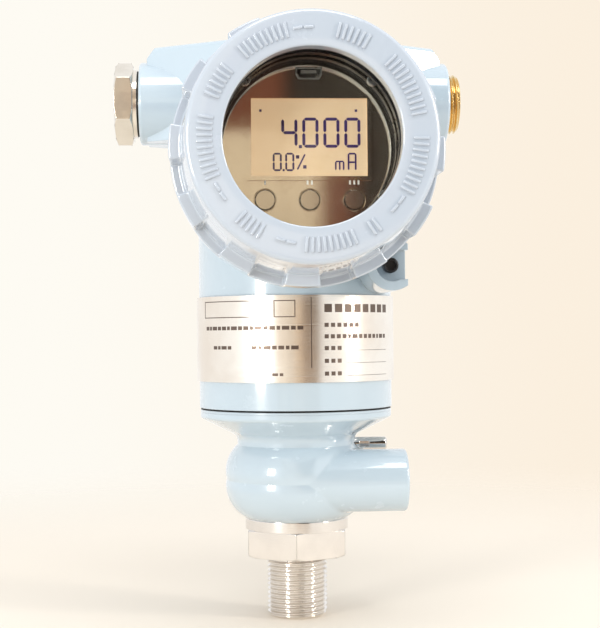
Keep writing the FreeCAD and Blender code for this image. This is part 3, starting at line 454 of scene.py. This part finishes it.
class Finish:
    """One material: a principled shader with its constants set, and helpers that feed its sockets."""

    def __init__(self, name, base, roughness, metallic=0.0, **constants):
        self.material = bpy.data.materials.new(name)
        self.material.use_nodes = True
        self.tree = self.material.node_tree
        self.shader = self.tree.nodes["Principled BSDF"]
        self.base = colour(base)
        self.shader.inputs["Base Color"].default_value = self.base
        self.shader.inputs["Roughness"].default_value = roughness
        self.shader.inputs["Metallic"].default_value = metallic
        for label, value in constants.items():
            self.shader.inputs[label.replace("_", " ")].default_value = value
        self.place = self.tree.nodes.new("ShaderNodeTexCoord").outputs["Object"]

    def use(self, group, **values):
        """Puts an effect in, fed with its values, and gives its outputs."""
        node = self.tree.nodes.new("ShaderNodeGroup")
        node.node_tree = group
        for label, value in values.items():
            wire(self.tree, value, node.inputs[label.replace("_", " ")])
        return node.outputs

    def centred(self, centre, turn=(0, 0, 0)):
        """Object coordinates moved to a piece's axis, so that rings run about it."""
        node = self.tree.nodes.new("ShaderNodeMapping")
        node.vector_type = "TEXTURE"
        node.inputs["Location"].default_value = centre
        node.inputs["Rotation"].default_value = turn
        wire(self.tree, self.place, node.inputs["Vector"])
        return node.outputs[0]

    def bump(self, height, strength, distance, normal=None):
        """Fine relief out of a height, laid over a normal."""
        node = self.tree.nodes.new("ShaderNodeBump")
        node.inputs["Strength"].default_value = strength
        node.inputs["Distance"].default_value = distance
        wire(self.tree, height, node.inputs["Height"])
        if normal is not None:
            wire(self.tree, normal, node.inputs["Normal"])
        wire(self.tree, node.outputs["Normal"], self.shader.inputs["Normal"])

    def vary(self, socket, mask, low, high):
        """Lets a socket run from low to high where the mask runs from 0 to 1."""
        wire(self.tree, range_of(self.tree, mask, 0.0, 1.0, low, high), self.shader.inputs[socket])

    def tint(self, mask, tone):
        """Blends the base colour into another one where the mask is."""
        base = self.shader.inputs["Base Color"]
        wire(self.tree, blend_colours(self.tree, mask, self.base, colour(tone)), base)

    def recolour(self, mask, tone):
        """Blends what the colour is by now into another one where the mask is."""
        base = self.shader.inputs["Base Color"]
        wire(self.tree, blend_colours(self.tree, mask, base.links[0].from_socket, colour(tone)), base)

    def about_axis(self, radius, side, face):
        """Mask of what lies inside a radius about the cover's axis and on one side of a face, and the
        coordinate along that axis."""
        x, y, z = split_up(self.tree, self.centred(AXIS))
        near = maths(self.tree, "LESS_THAN", distance_from_axis(self.tree, x, z), radius)
        return product(self.tree, near, maths(self.tree, side, y, face)), y


def painted(name, base, edge_wear_and_highlight_tone):
    """Glossy powder coat on a casting, lighter along its edges: a little wear there, and a painted highlight
    of the light that edges catch.
    """
    finish = Finish(name, base, 0.26, IOR=1.5, Coat_Weight=1.0, Coat_Roughness=0.06, Coat_IOR=1.8)
    skin = finish.use(CAST_SKIN, Vector=finish.place)
    edges = finish.use(SOFT_EDGES, Radius=0.0005)
    finish.bump(skin["Height"], strength=0.18, distance=0.00012, normal=edges["Normal"])
    finish.vary("Roughness", skin["Marks"], 0.24, 0.29)
    # Painted highlight with a little wear: every edge is lightened towards the edge tone.
    lit_worn_edges = product(finish.tree, edges["Edge"], 0.35)
    handled = product(finish.tree, skin["Marks"], 0.03)
    finish.tint(maths(finish.tree, "ADD", lit_worn_edges, handled, clamp=True), edge_wear_and_highlight_tone)
    return finish


def paint_shade_inside(finish, radius, front, tone):
    """Painted shade: a dark tone inside a radius about the cover's axis and behind a front face, where the
    cover's hollow lies in shade behind the window.
    """
    inside, _along = finish.about_axis(radius, "GREATER_THAN", front)
    finish.recolour(inside, tone)


def bare_neck(finish, radius, back, pitch, tone):
    """Bare metal with a thread, inside a radius about the cover's axis and ahead of a back face."""
    tree, shader = finish.tree, finish.shader
    bare, along = finish.about_axis(radius, "LESS_THAN", back)
    finish.recolour(bare, tone)
    wire(tree, bare, shader.inputs["Metallic"])
    wire(tree, maths(tree, "SUBTRACT", 1.0, bare), shader.inputs["Coat Weight"])
    groove = maths(tree, "SINE", product(tree, along, math.tau / pitch))
    painted_normal = shader.inputs["Normal"].links[0].from_socket
    finish.bump(product(tree, groove, bare), strength=1.0, distance=0.0004, normal=painted_normal)


def turned_metal(name, base, shade, roughness, centre=(0, 0, 0), turn=(0, 0, 0), fineness=2600.0):
    """Metal with the rings of a lathe about an axis: the Z of a frame that is moved and turned."""
    finish = Finish(name, base, roughness, metallic=1.0)
    marks = finish.use(LATHE_MARKS, Vector=finish.centred(centre, turn), Fineness=fineness)
    edges = finish.use(SOFT_EDGES, Radius=0.0002)
    finish.bump(marks["Height"], strength=0.10, distance=0.00003, normal=edges["Normal"])
    finish.vary("Roughness", marks["Sheen"], roughness * 0.8, roughness * 1.5)
    finish.tint(product(finish.tree, marks["Sheen"], 0.5), shade)
    return finish


def plain_plastic(name, base, shade, low, high, grain=1500.0, strength=0.12, metallic=0.0):
    """Even surface with a fine grain, whose roughness runs from low to high with faint handling marks."""
    finish = Finish(name, base, low, metallic, IOR=1.5)
    skin = finish.use(CAST_SKIN, Vector=finish.place, Peel_Scale=grain, Wave_Scale=grain / 8)
    finish.bump(skin["Height"], strength, distance=0.00006)
    finish.vary("Roughness", skin["Marks"], low, high)
    finish.tint(skin["Marks"], shade)
    return finish


PAINT = painted("blue powder coat", "bacbd7", "d6e0e7")
bare_neck(PAINT, radius=0.0336, back=-0.0563, pitch=0.0015, tone="c9c9c6")
# The cover has its own copy of the blue coat, greyer than the body's: partly the cover's own tone, partly
# painted light for the light that its face takes from the front.
COVER_PAINT = painted("cover powder coat", "bac4d0", "d4dbe3")
# Painted shade inside the cover's hollow, behind the window.
paint_shade_inside(COVER_PAINT, radius=0.0337, front=-0.0894, tone="34363a")
STAINLESS = turned_metal("turned stainless", "ece8e4", "d6d0ca", 0.14)
NICKEL = turned_metal("nickel plate", "efe9df", "d9d1c4", 0.16, ENTRY, TO_RIGHT)
BRASS = turned_metal("turned brass", "f0d49a", "dcb570", 0.18, ENTRY, TO_RIGHT)
SCREW_STEEL = turned_metal("screw steel", "b9bab9", "8f8f8d", 0.28, fineness=900.0)
# Painted shade: the ring behind the window is made dark for the shade inside the cover's hollow.
RING_BLACK = turned_metal("ring in painted shade", "2c2d30", "1d1e20", 0.34, AXIS, FORWARD)
# Dark grey steel for the cover's lock screw.
DARK_SCREW = turned_metal("dark screw steel", "4a4b4d", "2f3032", 0.36, fineness=900.0)
SPACER_BRASS = turned_metal("spacer brass", "d9b46a", "b98f48", 0.30)

PLATE = Finish("brushed sheet", "fbf5ec", 0.24, metallic=1.0)
lines = PLATE.use(BRUSH_LINES, Vector=PLATE.place)
PLATE.bump(lines["Height"], strength=0.12, distance=0.00004)
PLATE.vary("Roughness", lines["Height"], 0.16, 0.30)
PLATE.tint(product(PLATE.tree, lines["Sheen"], 0.6), "e4d6c6")

PLATE_INK = plain_plastic("etched marks", "6a5c53", "7d6e64", 0.34, 0.46, metallic=0.8)
FACE = plain_plastic("mirror face", "efe3d3", "e6d8c6", 0.05, 0.08, grain=700.0, strength=0.02, metallic=0.97)
LCD = plain_plastic("display film", "f4e2c2", "ecd6b2", 0.20, 0.26, grain=1200.0, strength=0.03, metallic=0.6)
# Painted light: the display film glows a little, standing in for the light that reaches it through the
# window.
LCD.shader.inputs["Emission Color"].default_value = colour("ecc096")
LCD.shader.inputs["Emission Strength"].default_value = 0.42
LCD_INK = plain_plastic("display segments", "3c2a63", "4a3870", 0.30, 0.40)
KEYS = plain_plastic("key caps", "e0d4c4", "d4c6b5", 0.08, 0.12, grain=700.0, strength=0.03, metallic=0.95)
KEY_PRINT = plain_plastic("key print", "f4efe8", "e6e0d8", 0.5, 0.6)
CASE = plain_plastic("black moulding", "17181a", "232426", 0.45, 0.60)
RUBBER = plain_plastic("black rubber", "141414", "222221", 0.60, 0.80, grain=2200.0, strength=0.25)
BOARD = plain_plastic("solder mask", "155136", "1d6242", 0.30, 0.42, grain=1800.0, strength=0.10)

GLASS = Finish("window glass", "f4f8f7", 0.0, IOR=1.46, Transmission_Weight=1.0)
smear = GLASS.use(CAST_SKIN, Vector=GLASS.place, Peel_Scale=80.0, Wave_Scale=30.0)
GLASS.vary("Roughness", smear["Marks"], 0.0, 0.02)
rays = GLASS.tree.nodes.new("ShaderNodeLightPath")
clear = GLASS.tree.nodes.new("ShaderNodeBsdfTransparent")
through = blend_shaders(GLASS.tree, rays.outputs["Is Shadow Ray"], GLASS.shader.outputs[0], clear.outputs[0])
wire(GLASS.tree, through, GLASS.tree.nodes["Material Output"].inputs["Surface"])

SLOT_FINISH = {
    "housing_paint": PAINT, "stainless": STAINLESS, "nameplate_steel": PLATE, "plug_steel": NICKEL,
    "fastener_steel": SCREW_STEEL, "spacer_brass": SPACER_BRASS, "fitting_brass": BRASS, "window": GLASS,
    "ring_aluminium": RING_BLACK, "face_plastic": FACE, "lcd_film": LCD, "key_plastic": KEYS,
    "case_plastic": CASE, "circuit_board": BOARD, "black_rubber": RUBBER,
}


def dress(piece, finish):
    """Gives a piece one finish in place of what it had."""
    piece.data.materials.clear()
    piece.data.materials.append(finish.material)


for entry in frame["record"]["subparts"]:
    dress(nodes[entry["node"]], SLOT_FINISH[entry["material_slot"]])
dress(nodes["cover_lock_screw"], DARK_SCREW)


def fit(piece, body, slot, finish, *stands_for):
    """Gives a finished piece its material and its body, and hides the CAD nodes that it stands for."""
    dress(piece, finish)
    if stands_for:
        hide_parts(*stands_for)
    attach(piece, body)
    return piece


def mm_box(node):
    """Box of a CAD node in millimetres."""
    low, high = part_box(node)
    return low / MM, high / MM


def copied(piece, name):
    """Second piece of the same shape, with its own mesh."""
    take(piece)
    bpy.ops.object.duplicate(linked=False)
    other = bpy.context.object
    other.name = name
    return other


def round_about(piece, angle):
    """Turns a piece about the Z axis through the origin, in degrees."""
    return settle(piece, turn=(0, 0, math.radians(angle)))


# ---------------------------------------------------------------- cover
LUG_ANGLE = 15.0               # width of a lug in degrees
LUG_PITCH = 30.0               # from one lug's middle to the next one's
LUG_PHASE = -92.6              # direction of one lug's middle
COVER_FACETS = 288
NEAR = 0.01                    # how closely a face or a corner has to lie where it is looked for


def in_gap(place):
    """Whether a place about the local Z axis lies between two lugs."""
    angle = math.degrees(math.atan2(place.y, place.x)) - LUG_PHASE
    return abs((angle + LUG_PITCH / 2) % LUG_PITCH - LUG_PITCH / 2) > LUG_ANGLE / 2


def away_from_axis(place):
    """Distance from the local Z axis in millimetres."""
    return math.hypot(place.x, place.y) / MM


def make_cover():
    """Screwed cover, and the height of its face: turned with a full collar, which is then pressed in between
    the lugs, down to a skirt that widens a little towards the rim."""
    low, high = mm_box("cover_shell")
    front, back, reach = -low.y, -high.y, (high.x - low.x) / 2
    lug_front, rim_front = front - 22.5, back + 3.6
    skirt, skirt_end = reach - 3.4, reach - 2.7
    opening, glass_bore, inner_bore, thread_bore, rim_bore = 24.3, 27.05, 31.0, 33.6, reach - 3.9
    glass_front, shoulder, thread_front, thread_back = front - 5, front - 16.75, lug_front + 0.3, back + 4
    cover = turned("cover", [
        (opening, front - 3), (opening, front, 0.6), (skirt - 1.8, front, 1.5), (skirt, lug_front),
        (reach, lug_front), (reach, rim_front), (reach, back), (rim_bore, back), (rim_bore, thread_back),
        (thread_bore, thread_back), (thread_bore, thread_front), (inner_bore, thread_front),
        (inner_bore, shoulder), (glass_bore, shoulder), (glass_bore, glass_front), (opening, glass_front),
    ], COVER_FACETS, closed=True)
    round_about(cover, LUG_PHASE - LUG_ANGLE / 2)

    def lug_wall(centre, _normal):
        outside = away_from_axis(centre) > reach - 0.1
        return outside and rim_front * MM < centre.z < lug_front * MM and in_gap(centre)

    pick_faces(cover, lug_wall)
    bpy.ops.mesh.extrude_region_move(TRANSFORM_OT_translate={"value": (0, 0, 0)})
    bpy.ops.transform.resize(value=(skirt / reach, skirt / reach, 1), center_override=(0, 0, 0))

    def gap_roof(centre, _normal):
        level = abs(centre.z / MM - lug_front) < NEAR
        return level and skirt < away_from_axis(centre) < reach and in_gap(centre)

    pick_faces(cover, gap_roof)
    bpy.ops.mesh.delete(type="FACE")
    bpy.ops.object.mode_set(mode="OBJECT")

    def gap_foot(place):
        return abs(place.z / MM - rim_front) < NEAR and abs(away_from_axis(place) - skirt) < NEAR

    pick_corners(cover, gap_foot)
    grow = skirt_end / skirt
    bpy.ops.transform.resize(value=(grow, grow, 1), center_override=(0, 0, 0))
    tidy_mesh(cover)
    break_edges(cover, width=0.5, segments=3, angle=CAST_BELOW)
    tidy_mesh(cover, CAST_BELOW)
    return settle(cover, AXIS, FORWARD), front


def make_cover_marks(front):
    """Raised blank marks round the cover's face: groups of short bars, with a pair of dashes between some."""
    ring = (0, 29.2, front)
    post, post_pitch = bar("post", (0.8, 4.3, 1.0), ring, 0.2), 3.2
    dash, dash_pitch = bar("dash", (2.6, 0.8, 1.0), ring, 0.2), 5.8
    post_groups = ((14, 9), (52, 6), (80, 11), (138, 5), (176, 9), (212, 2), (240, 10), (282, 11), (330, 6))
    marks = []
    for start, count in post_groups:
        for index in range(count):
            marks.append(round_about(copied(post, "mark"), start + post_pitch * index))
    for start in (2, 118, 162, 228):
        for index in (0, 1):
            marks.append(round_about(copied(dash, "mark"), start + dash_pitch * index))
    for pattern in (post, dash):
        bpy.data.objects.remove(pattern)
    return settle(gather("cover_marks", marks), AXIS, FORWARD)


cover, cover_front = make_cover()
fit(cover, "cover", "housing_paint", COVER_PAINT, "cover_shell")
fit(tidy_mesh(make_cover_marks(cover_front), CAST_BELOW), "cover", "housing_paint", COVER_PAINT)


# ---------------------------------------------------------------- process connection
def make_connection():
    """Screwed connection: thread with a relief under the hexagon, hexagon, collar and the shank inside."""
    low, high = mm_box("process_connection")
    foot, top, port = low.z, high.z, 1.75
    major, relief, relief_top = 10.0, 9.1, 0.4
    nut_reach, nut_top = 18.5, 9.0
    core, collar, collar_top = 12.0, 17.25, 12.6
    shaft, groove, groove_low, groove_high = 12.9, 11.7, 18.85, 20.35
    seat, seat_floor = 9.45, top - 0.3
    thread = screw_thread("connection thread", major, foot, -1.2, 96)
    thread = carve(thread, turned("thread tool", [
        (port, foot), (8.4, foot), (major + 0.02, foot + 1.6), (major + 0.02, -1.7), (relief, -1.25),
        (relief, relief_top), (port, relief_top)], 96, closed=True), "INTERSECT")
    nut = hexagon("connection hexagon", flats=32.0, corner_angle=-94.0, corners=[
        (port, 0), (16.9, 0), (nut_reach, 0.9), (nut_reach, 8.65), (18.1, nut_top), (port, nut_top)])
    break_edges(nut, width=0.25, segments=EDGE_STEPS, angle=HEXAGON_EDGES)
    shank = turned("connection shank", [
        (port, nut_top - 3), (core, nut_top - 3), (core, nut_top), (collar, nut_top),
        (collar, collar_top, 0.35), (shaft, collar_top), (shaft, groove_low), (groove, groove_low),
        (groove, groove_high), (shaft, groove_high), (shaft, top), (seat, top), (seat, seat_floor),
        (port, seat_floor)], 144, closed=True)
    return even_flats(tidy_mesh(gather("connection", [thread, nut, shank]), CRISP_BELOW))


fit(make_connection(), "sensor_module", "stainless", STAINLESS, "process_connection")


# ---------------------------------------------------------------- conduit plug and cable fitting
ENTRY_MAJOR = 9.95             # radius of both entry threads, and of the outline that trims them
ENTRY_TRIM = 9.97


def make_plug():
    """Conduit plug: thread with a relief under the head, hexagonal head and the small pip on its end."""
    low, high = mm_box("conduit_plug")
    pip_height, head_height, relief = 1.0, 6.0, 9.0
    inner, outer = -high.x, -low.x - pip_height
    head_back = outer - head_height
    head_face, head_reach, head_bevel = 12.3, 13.87, 0.75
    thread = screw_thread("plug thread", ENTRY_MAJOR, inner, head_back + 0.5, 72)
    thread = carve(thread, turned("plug tool", [
        (8.6, inner), (ENTRY_TRIM, inner + 1.2), (ENTRY_TRIM, head_back - 1.6), (relief, head_back - 1.2),
        (relief, head_back + 0.4)], 72), "INTERSECT")
    head = hexagon("plug head", flats=24.0, corner_angle=0.0, corners=[
        (head_face, head_back), (head_reach, head_back + head_bevel), (head_reach, outer - head_bevel),
        (head_face, outer)])
    break_edges(head, width=0.22, segments=EDGE_STEPS, angle=HEXAGON_EDGES)
    pip = turned("plug pip", [(0.75, outer - 0.5), (0.75, outer + 0.75), (0.45, outer + pip_height)], 24)
    piece = carve(carve(thread, head, "UNION"), pip, "UNION")
    piece.name = "plug"
    return even_flats(tidy_mesh(settle(piece, ENTRY, TO_LEFT), CRISP_BELOW))


def make_fitting():
    """Cable fitting: a threaded tube with both ends turned down and its mouth bevelled."""
    low, high = mm_box("cable_fitting")
    start, end, bore, mouth = low.x, high.x, 6.5, 0.7
    thread = screw_thread("fitting thread", ENTRY_MAJOR, start, end, 96)
    piece = carve(thread, turned("fitting tool", [
        (bore, start), (8.9, start), (ENTRY_TRIM, start + 1.0), (ENTRY_TRIM, end - 1.0), (9.0, end),
        (bore + mouth, end), (bore, end - mouth)], 96, closed=True), "INTERSECT")
    piece.name = "fitting"
    return tidy_mesh(settle(piece, ENTRY, TO_RIGHT), CRISP_BELOW)


fit(make_plug(), "plug", "plug_steel", NICKEL, "conduit_plug")
fit(make_fitting(), "fitting", "fitting_brass", BRASS, "cable_fitting")


# ---------------------------------------------------------------- nameplate
ETCH_THICK = 0.06
BAND_FACET = 1.5               # degrees of the band that one facet of a strip covers


def band_mark(start, end, low, high, radius):
    """Thin strip on the nameplate band, between two angles and two heights."""
    put_down()
    bpy.ops.mesh.primitive_plane_add(size=1)
    piece = bpy.context.object
    piece.scale = (ETCH_THICK * MM, (high - low) * MM, 1)
    settle(piece, turn=FORWARD)
    settle(piece, (radius * MM, 0, (low + high) / 2 * MM))
    round_about(piece, start)
    bpy.ops.object.mode_set(mode="EDIT")
    bpy.ops.mesh.select_all(action="SELECT")
    bpy.ops.mesh.spin(steps=max(1, int(abs(end - start) / BAND_FACET)), angle=math.radians(start - end),
                      center=(0, 0, 0), axis=(0, 0, 1))
    bpy.ops.object.mode_set(mode="OBJECT")
    return piece


def make_plate_rules():
    """Etched marks of the nameplate, all blank: two empty frames, rows of plain dashes and one upright rule.
    Angles are in degrees to the right of the plate's middle, heights in millimetres above its lower edge."""
    low, high = mm_box("nameplate_band")
    surface = (high.x - low.x) / 2
    bottom, top = low.z, high.z
    line, line_angle = 0.3, 0.55       # width of a frame's lines, lying and upright
    strips = []

    def patch(start, end, low_height, high_height):
        strips.append(band_mark(start - 90, end - 90, bottom + low_height, bottom + high_height, surface))

    def frame_of(start, end, low_height, high_height):
        patch(start, end, low_height, low_height + line)
        patch(start, end, high_height - line, high_height)
        for angle in (start, end - line_angle):
            patch(angle, angle + line_angle, low_height + line, high_height - line)

    def dashes(start, end, height, thick, lengths, gap):
        """Row of dashes that goes through its lengths again and again until the next one would not fit."""
        angle, index = start, 0
        while angle + lengths[index % len(lengths)] <= end:
            length = lengths[index % len(lengths)]
            patch(angle, angle + length, height - thick / 2, height + thick / 2)
            angle += length + gap
            index += 1

    rule_start, rule_end, rule_foot, rule_head = 5.4, 5.9, 4.6, 0.8
    patch(rule_start, rule_end, rule_foot, top - bottom - rule_head)
    frame_low, frame_high = 20.6, 26.0
    frame_of(-66, -22, frame_low, frame_high)
    frame_of(-15, -3, frame_low, frame_high)
    for start, end, height, thick in ((-64, 2, 17.3, 1.2), (-56, -40, 11.1, 1.1), (-28, -1, 11.1, 1.2),
                                      (-16, -8, 2.6, 0.9)):
        dashes(start, end, height, thick, (3.2, 2.0, 4.1, 2.6), 0.9)
    column, column_end = 13, 62
    dashes(column, column_end, 23.4, 2.6, (4.4,), 1.8)
    dashes(column, 38, 18.1, 1.3, (2.4,), 1.4)
    dashes(column, column_end, 14.5, 1.3, (2.4, 2.4, 2.4, 2.4, 1.6, 3.4), 1.2)
    for height in (10.8, 6.8, 2.8):
        dashes(column, 24, height, 1.3, (2.4,), 1.4)
        patch(27, 60, height - 0.8, height - 0.65)
    return gather("nameplate_marks", strips)


fit(tidy_mesh(make_plate_rules(), CRISP_BELOW), "housing", "nameplate_steel", PLATE_INK)


# ---------------------------------------------------------------- display
INK_DEPTH = 0.08
TIP_SHARE = 0.12               # width left at the tip of a stroke, as a share of the stroke
TRIM_SHARE = 0.12              # gap between a segment and the corner of its sign, likewise


def flat_bar(name, start, end, width, front):
    """Flat stroke between two places on the display, as (x, z), with pointed ends like a segment."""
    length = math.hypot(end[0] - start[0], end[1] - start[1])
    slope = math.degrees(math.atan2(end[1] - start[1], end[0] - start[0]))
    piece = bar(name, (length - width, INK_DEPTH, width), (0, 0, 0))
    for side in (-1, 1):
        def end_face(_centre, normal):
            return normal.x * side > 0.9

        pick_faces(piece, end_face)
        bpy.ops.mesh.extrude_region_move(TRANSFORM_OT_translate={"value": (side * width / 2 * MM, 0, 0)})
        bpy.ops.transform.resize(value=(1, 1, TIP_SHARE), center_override=(0, 0, 0))
        bpy.ops.object.mode_set(mode="OBJECT")
    settle(piece, turn=(0, math.radians(-slope), 0))
    return settle(piece, ((start[0] + end[0]) / 2 * MM, front * MM, (start[1] + end[1]) / 2 * MM))


SEGMENTS = {
    "a": ((0, 1), (1, 1)), "b": ((1, 1), (1, 0.5)), "c": ((1, 0.5), (1, 0)), "d": ((0, 0), (1, 0)),
    "e": ((0, 0), (0, 0.5)), "f": ((0, 0.5), (0, 1)), "g": ((0, 0.5), (1, 0.5)),
}
SHOWN = {"0": "abcdef", "4": "bcfg"}


def digit(sign, corner, width, height, stroke, front):
    """Strokes of one sign, whose lower left corner is at (x, z)."""
    parts = []
    trim = stroke * TRIM_SHARE
    for key in SHOWN[sign]:
        ends = [(corner[0] + x * width, corner[1] + z * height) for x, z in SEGMENTS[key]]
        (x0, z0), (x1, z1) = sorted(ends)
        if x1 > x0:
            start, end = (x0 + trim, z0), (x1 - trim, z1)
        else:
            start, end = (x0, z0 + trim), (x1, z1 - trim)
        parts.append(flat_bar("segment", start, end, stroke, front))
    return parts


def make_reading():
    """The reading on the display: 4.000 over 0.0 %, with the unit beside it. Places are (x, z) from the
    middle of the display."""
    low, high = mm_box("lcd_panel")
    middle_x, middle_z = (low.x + high.x) / 2, (low.z + high.z) / 2
    front = low.y - 0.03
    parts = []

    def sign(text, x, z, width, height, weight):
        parts.extend(digit(text, (middle_x + x, middle_z + z), width, height, weight, front))

    def dot(name, size, x, z):
        parts.append(bar(name, (size, INK_DEPTH, size), (middle_x + x, front, middle_z + z)))

    def stroke(name, x0, z0, x1, z1, width):
        start, end = (middle_x + x0, middle_z + z0), (middle_x + x1, middle_z + z1)
        parts.append(flat_bar(name, start, end, width, front))

    for index, text in enumerate("4000"):
        sign(text, -7.4 + 5.9 * index, -2.4, width=3.7, height=7.6, weight=0.85)
    dot("point", 0.9, -2.5, -2.5)
    base = -9.1                                    # foot of the lower row
    for index in range(2):
        sign("0", -10.0 + 3.5 * index, base, width=2.0, height=4.6, weight=0.55)
    dot("point", 0.6, -7.25, base)
    stroke("slash", -3.4, -9.0, -1.2, -4.6, 0.45)
    dot("dot", 0.95, -3.3, -5.4)
    dot("dot", 0.95, -1.3, -8.2)
    left, waist, head = 7.4, base + 2.4, base + 4.6
    for x in (left, left + 1.1, left + 2.2):
        stroke("unit", x, base, x, waist, 0.45)
    stroke("unit", left, waist, left + 2.2, waist, 0.45)
    for x in (left + 3.6, left + 5.6):
        stroke("unit", x, base, x, head, 0.5)
    for z in (base + 2.2, head):
        stroke("unit", left + 3.6, z, left + 5.6, z, 0.5)
    for x in (-13.6, 13.2):
        dot("sign", 0.7, x, 7.6)
    return gather("reading", parts)


def make_key_marks():
    """One, two and three short strokes above the keys."""
    pitch, above_key = 1.2, 1.6
    face = mm_box("faceplate")[0].y - 0.02
    parts = []
    for count, node in ((1, "key_left"), (2, "key_middle"), (3, "key_right")):
        low, high = mm_box(node)
        for index in range(count):
            x = (low.x + high.x) / 2 + (index - (count - 1) / 2) * pitch
            parts.append(bar("stroke", (0.5, 0.06, 2.4), (x, face, high.z + above_key)))
    return gather("key_marks", parts)


fit(tidy_mesh(make_reading(), CRISP_BELOW), "display", "lcd_film", LCD_INK)
fit(tidy_mesh(make_key_marks(), CRISP_BELOW), "display", "face_plastic", KEY_PRINT)


# ---------------------------------------------------------------- room, light and camera
def make_floor():
    """Pale floor that fades into the backdrop away from the piece."""
    put_down()
    low, _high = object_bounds()
    bpy.ops.mesh.primitive_circle_add(vertices=96, radius=0.9, fill_type="NGON", location=(0, 0, low.z))
    piece = bpy.context.object
    piece.name = "floor"
    bpy.ops.object.transform_apply(location=True, rotation=True, scale=True)
    material = bpy.data.materials.new("pale floor")
    material.use_nodes = True
    tree = material.node_tree
    shader = tree.nodes["Principled BSDF"]
    shader.inputs["Base Color"].default_value = colour("f0e8dc")
    shader.inputs["Roughness"].default_value = 0.8
    place = tree.nodes.new("ShaderNodeTexCoord").outputs["Object"]
    away = tree.nodes.new("ShaderNodeVectorMath")
    away.operation = "LENGTH"
    wire(tree, place, away.inputs[0])
    clear = tree.nodes.new("ShaderNodeBsdfTransparent")
    solid_within, gone_beyond = 0.10, 0.55
    gone = range_of(tree, away.outputs["Value"], solid_within, gone_beyond)
    faded = blend_shaders(tree, gone, shader.outputs[0], clear.outputs[0])
    wire(tree, faded, tree.nodes["Material Output"].inputs["Surface"])
    piece.data.materials.append(material)


def make_room():
    """Backdrop for the camera, white surroundings, and in mirrors a warm dim doorway straight in front.
    Its edges are soft steps in the direction that is looked in."""
    world = bpy.data.worlds.new("studio")
    bpy.context.scene.world = world
    world.use_nodes = True
    tree = world.node_tree
    tree.nodes.clear()
    out = tree.nodes.new("ShaderNodeOutputWorld")
    way = tree.nodes.new("ShaderNodeTexCoord").outputs["Generated"]
    x, y, z = split_up(tree, way)
    white = colour("ffffff")

    def sky(tone, strength):
        node = tree.nodes.new("ShaderNodeBackground")
        wire(tree, strength, node.inputs["Strength"])
        wire(tree, tone, node.inputs["Color"])
        return node.outputs[0]

    def step(value, start, end):
        return range_of(tree, value, start, end)

    def both(first, second):
        return product(tree, first, second)

    def either(first, second):
        return maths(tree, "MAXIMUM", first, second)

    def paint(mask, under, tone):
        return blend_colours(tree, mask, under, tone)

    backdrop = paint(step(x, -0.15, 0.30), colour("fefbf3"), colour("fbefde"))
    sides = step(maths(tree, "ABSOLUTE", x), 0.47, 0.38)
    ahead = step(y, -0.2, -0.4)
    lintel = step(maths(tree, "ABSOLUTE", z), 0.97, 0.92)
    doorway = both(both(sides, ahead), lintel)
    above_table = step(z, -0.02, 0.04)
    table, wall, bright_wall, frame_tone, dark = (
        colour(tone) for tone in ("8c5f4b", "f0d9bd", "f8ecdc", "7c4a38", "2e2722"))
    warm = paint(step(z, -0.12, -0.05), table, wall)
    warm = paint(step(x, -0.05, -0.08), warm, bright_wall)
    brown = either(both(step(z, 0.148, 0.156), step(x, -0.05, -0.02)), step(x, 0.068, 0.084))
    warm = paint(both(brown, above_table), warm, frame_tone)
    shade = either(both(step(z, 0.140, 0.150), step(x, 0.040, 0.056)), step(x, 0.090, 0.110))
    streaks = both(step(cloud(tree, way, scale=9.0, detail=2.0), 0.50, 0.60), 0.35)
    warm = paint(either(both(shade, above_table), streaks), warm, dark)
    mirrored = sky(paint(doorway, white, warm), 1.0)
    ray = tree.nodes.new("ShaderNodeLightPath")
    light = blend_shaders(tree, ray.outputs["Is Diffuse Ray"], mirrored, sky(white, 0.80))
    light = blend_shaders(tree, ray.outputs["Is Camera Ray"], light, sky(backdrop, 1.0))
    wire(tree, light, out.inputs["Surface"])


LAMP_AIM = Vector((0, 0, 0.09))


def lamp(name, place, size, power, tone):
    """Flat lamp that points at the middle of the piece."""
    put_down()
    bpy.ops.object.light_add(type="AREA", location=place)
    piece = bpy.context.object
    piece.name = name
    piece.data.shape = "RECTANGLE"
    piece.data.size, piece.data.size_y = size
    piece.data.energy = power
    piece.data.color = colour(tone)[:3]
    piece.rotation_euler = (LAMP_AIM - Vector(place)).to_track_quat("-Z", "Y").to_euler()


make_floor()
make_room()
lamp("window left", (-0.72, -0.75, 0.18), size=(0.20, 0.32), power=4.5, tone="fffdf8")
lamp("window right", (0.93, -0.43, 0.36), size=(0.12, 0.45), power=4.5, tone="fff9f0")
lamp("ceiling", (0.0, -0.55, 1.00), size=(0.7, 0.4), power=4.0, tone="ffffff")

turn_right, tilt_up, roll = math.radians(3.43), math.radians(0.9), math.radians(-0.5)
bpy.ops.object.camera_add(location=(-0.0253, -0.450, 0.0735))
camera = bpy.context.object
camera.name = "camera"
camera.data.lens = 76.5
camera.data.sensor_width = 36.0
camera.data.clip_start = 0.01
look = Vector((math.sin(turn_right), math.cos(turn_right), math.tan(tilt_up)))
camera.rotation_euler = look.to_track_quat("-Z", "Y").to_euler()
camera.rotation_euler.rotate_axis("Z", roll)
bpy.context.scene.camera = camera
bpy.context.scene.view_settings.view_transform = "Standard"

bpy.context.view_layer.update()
put_down()
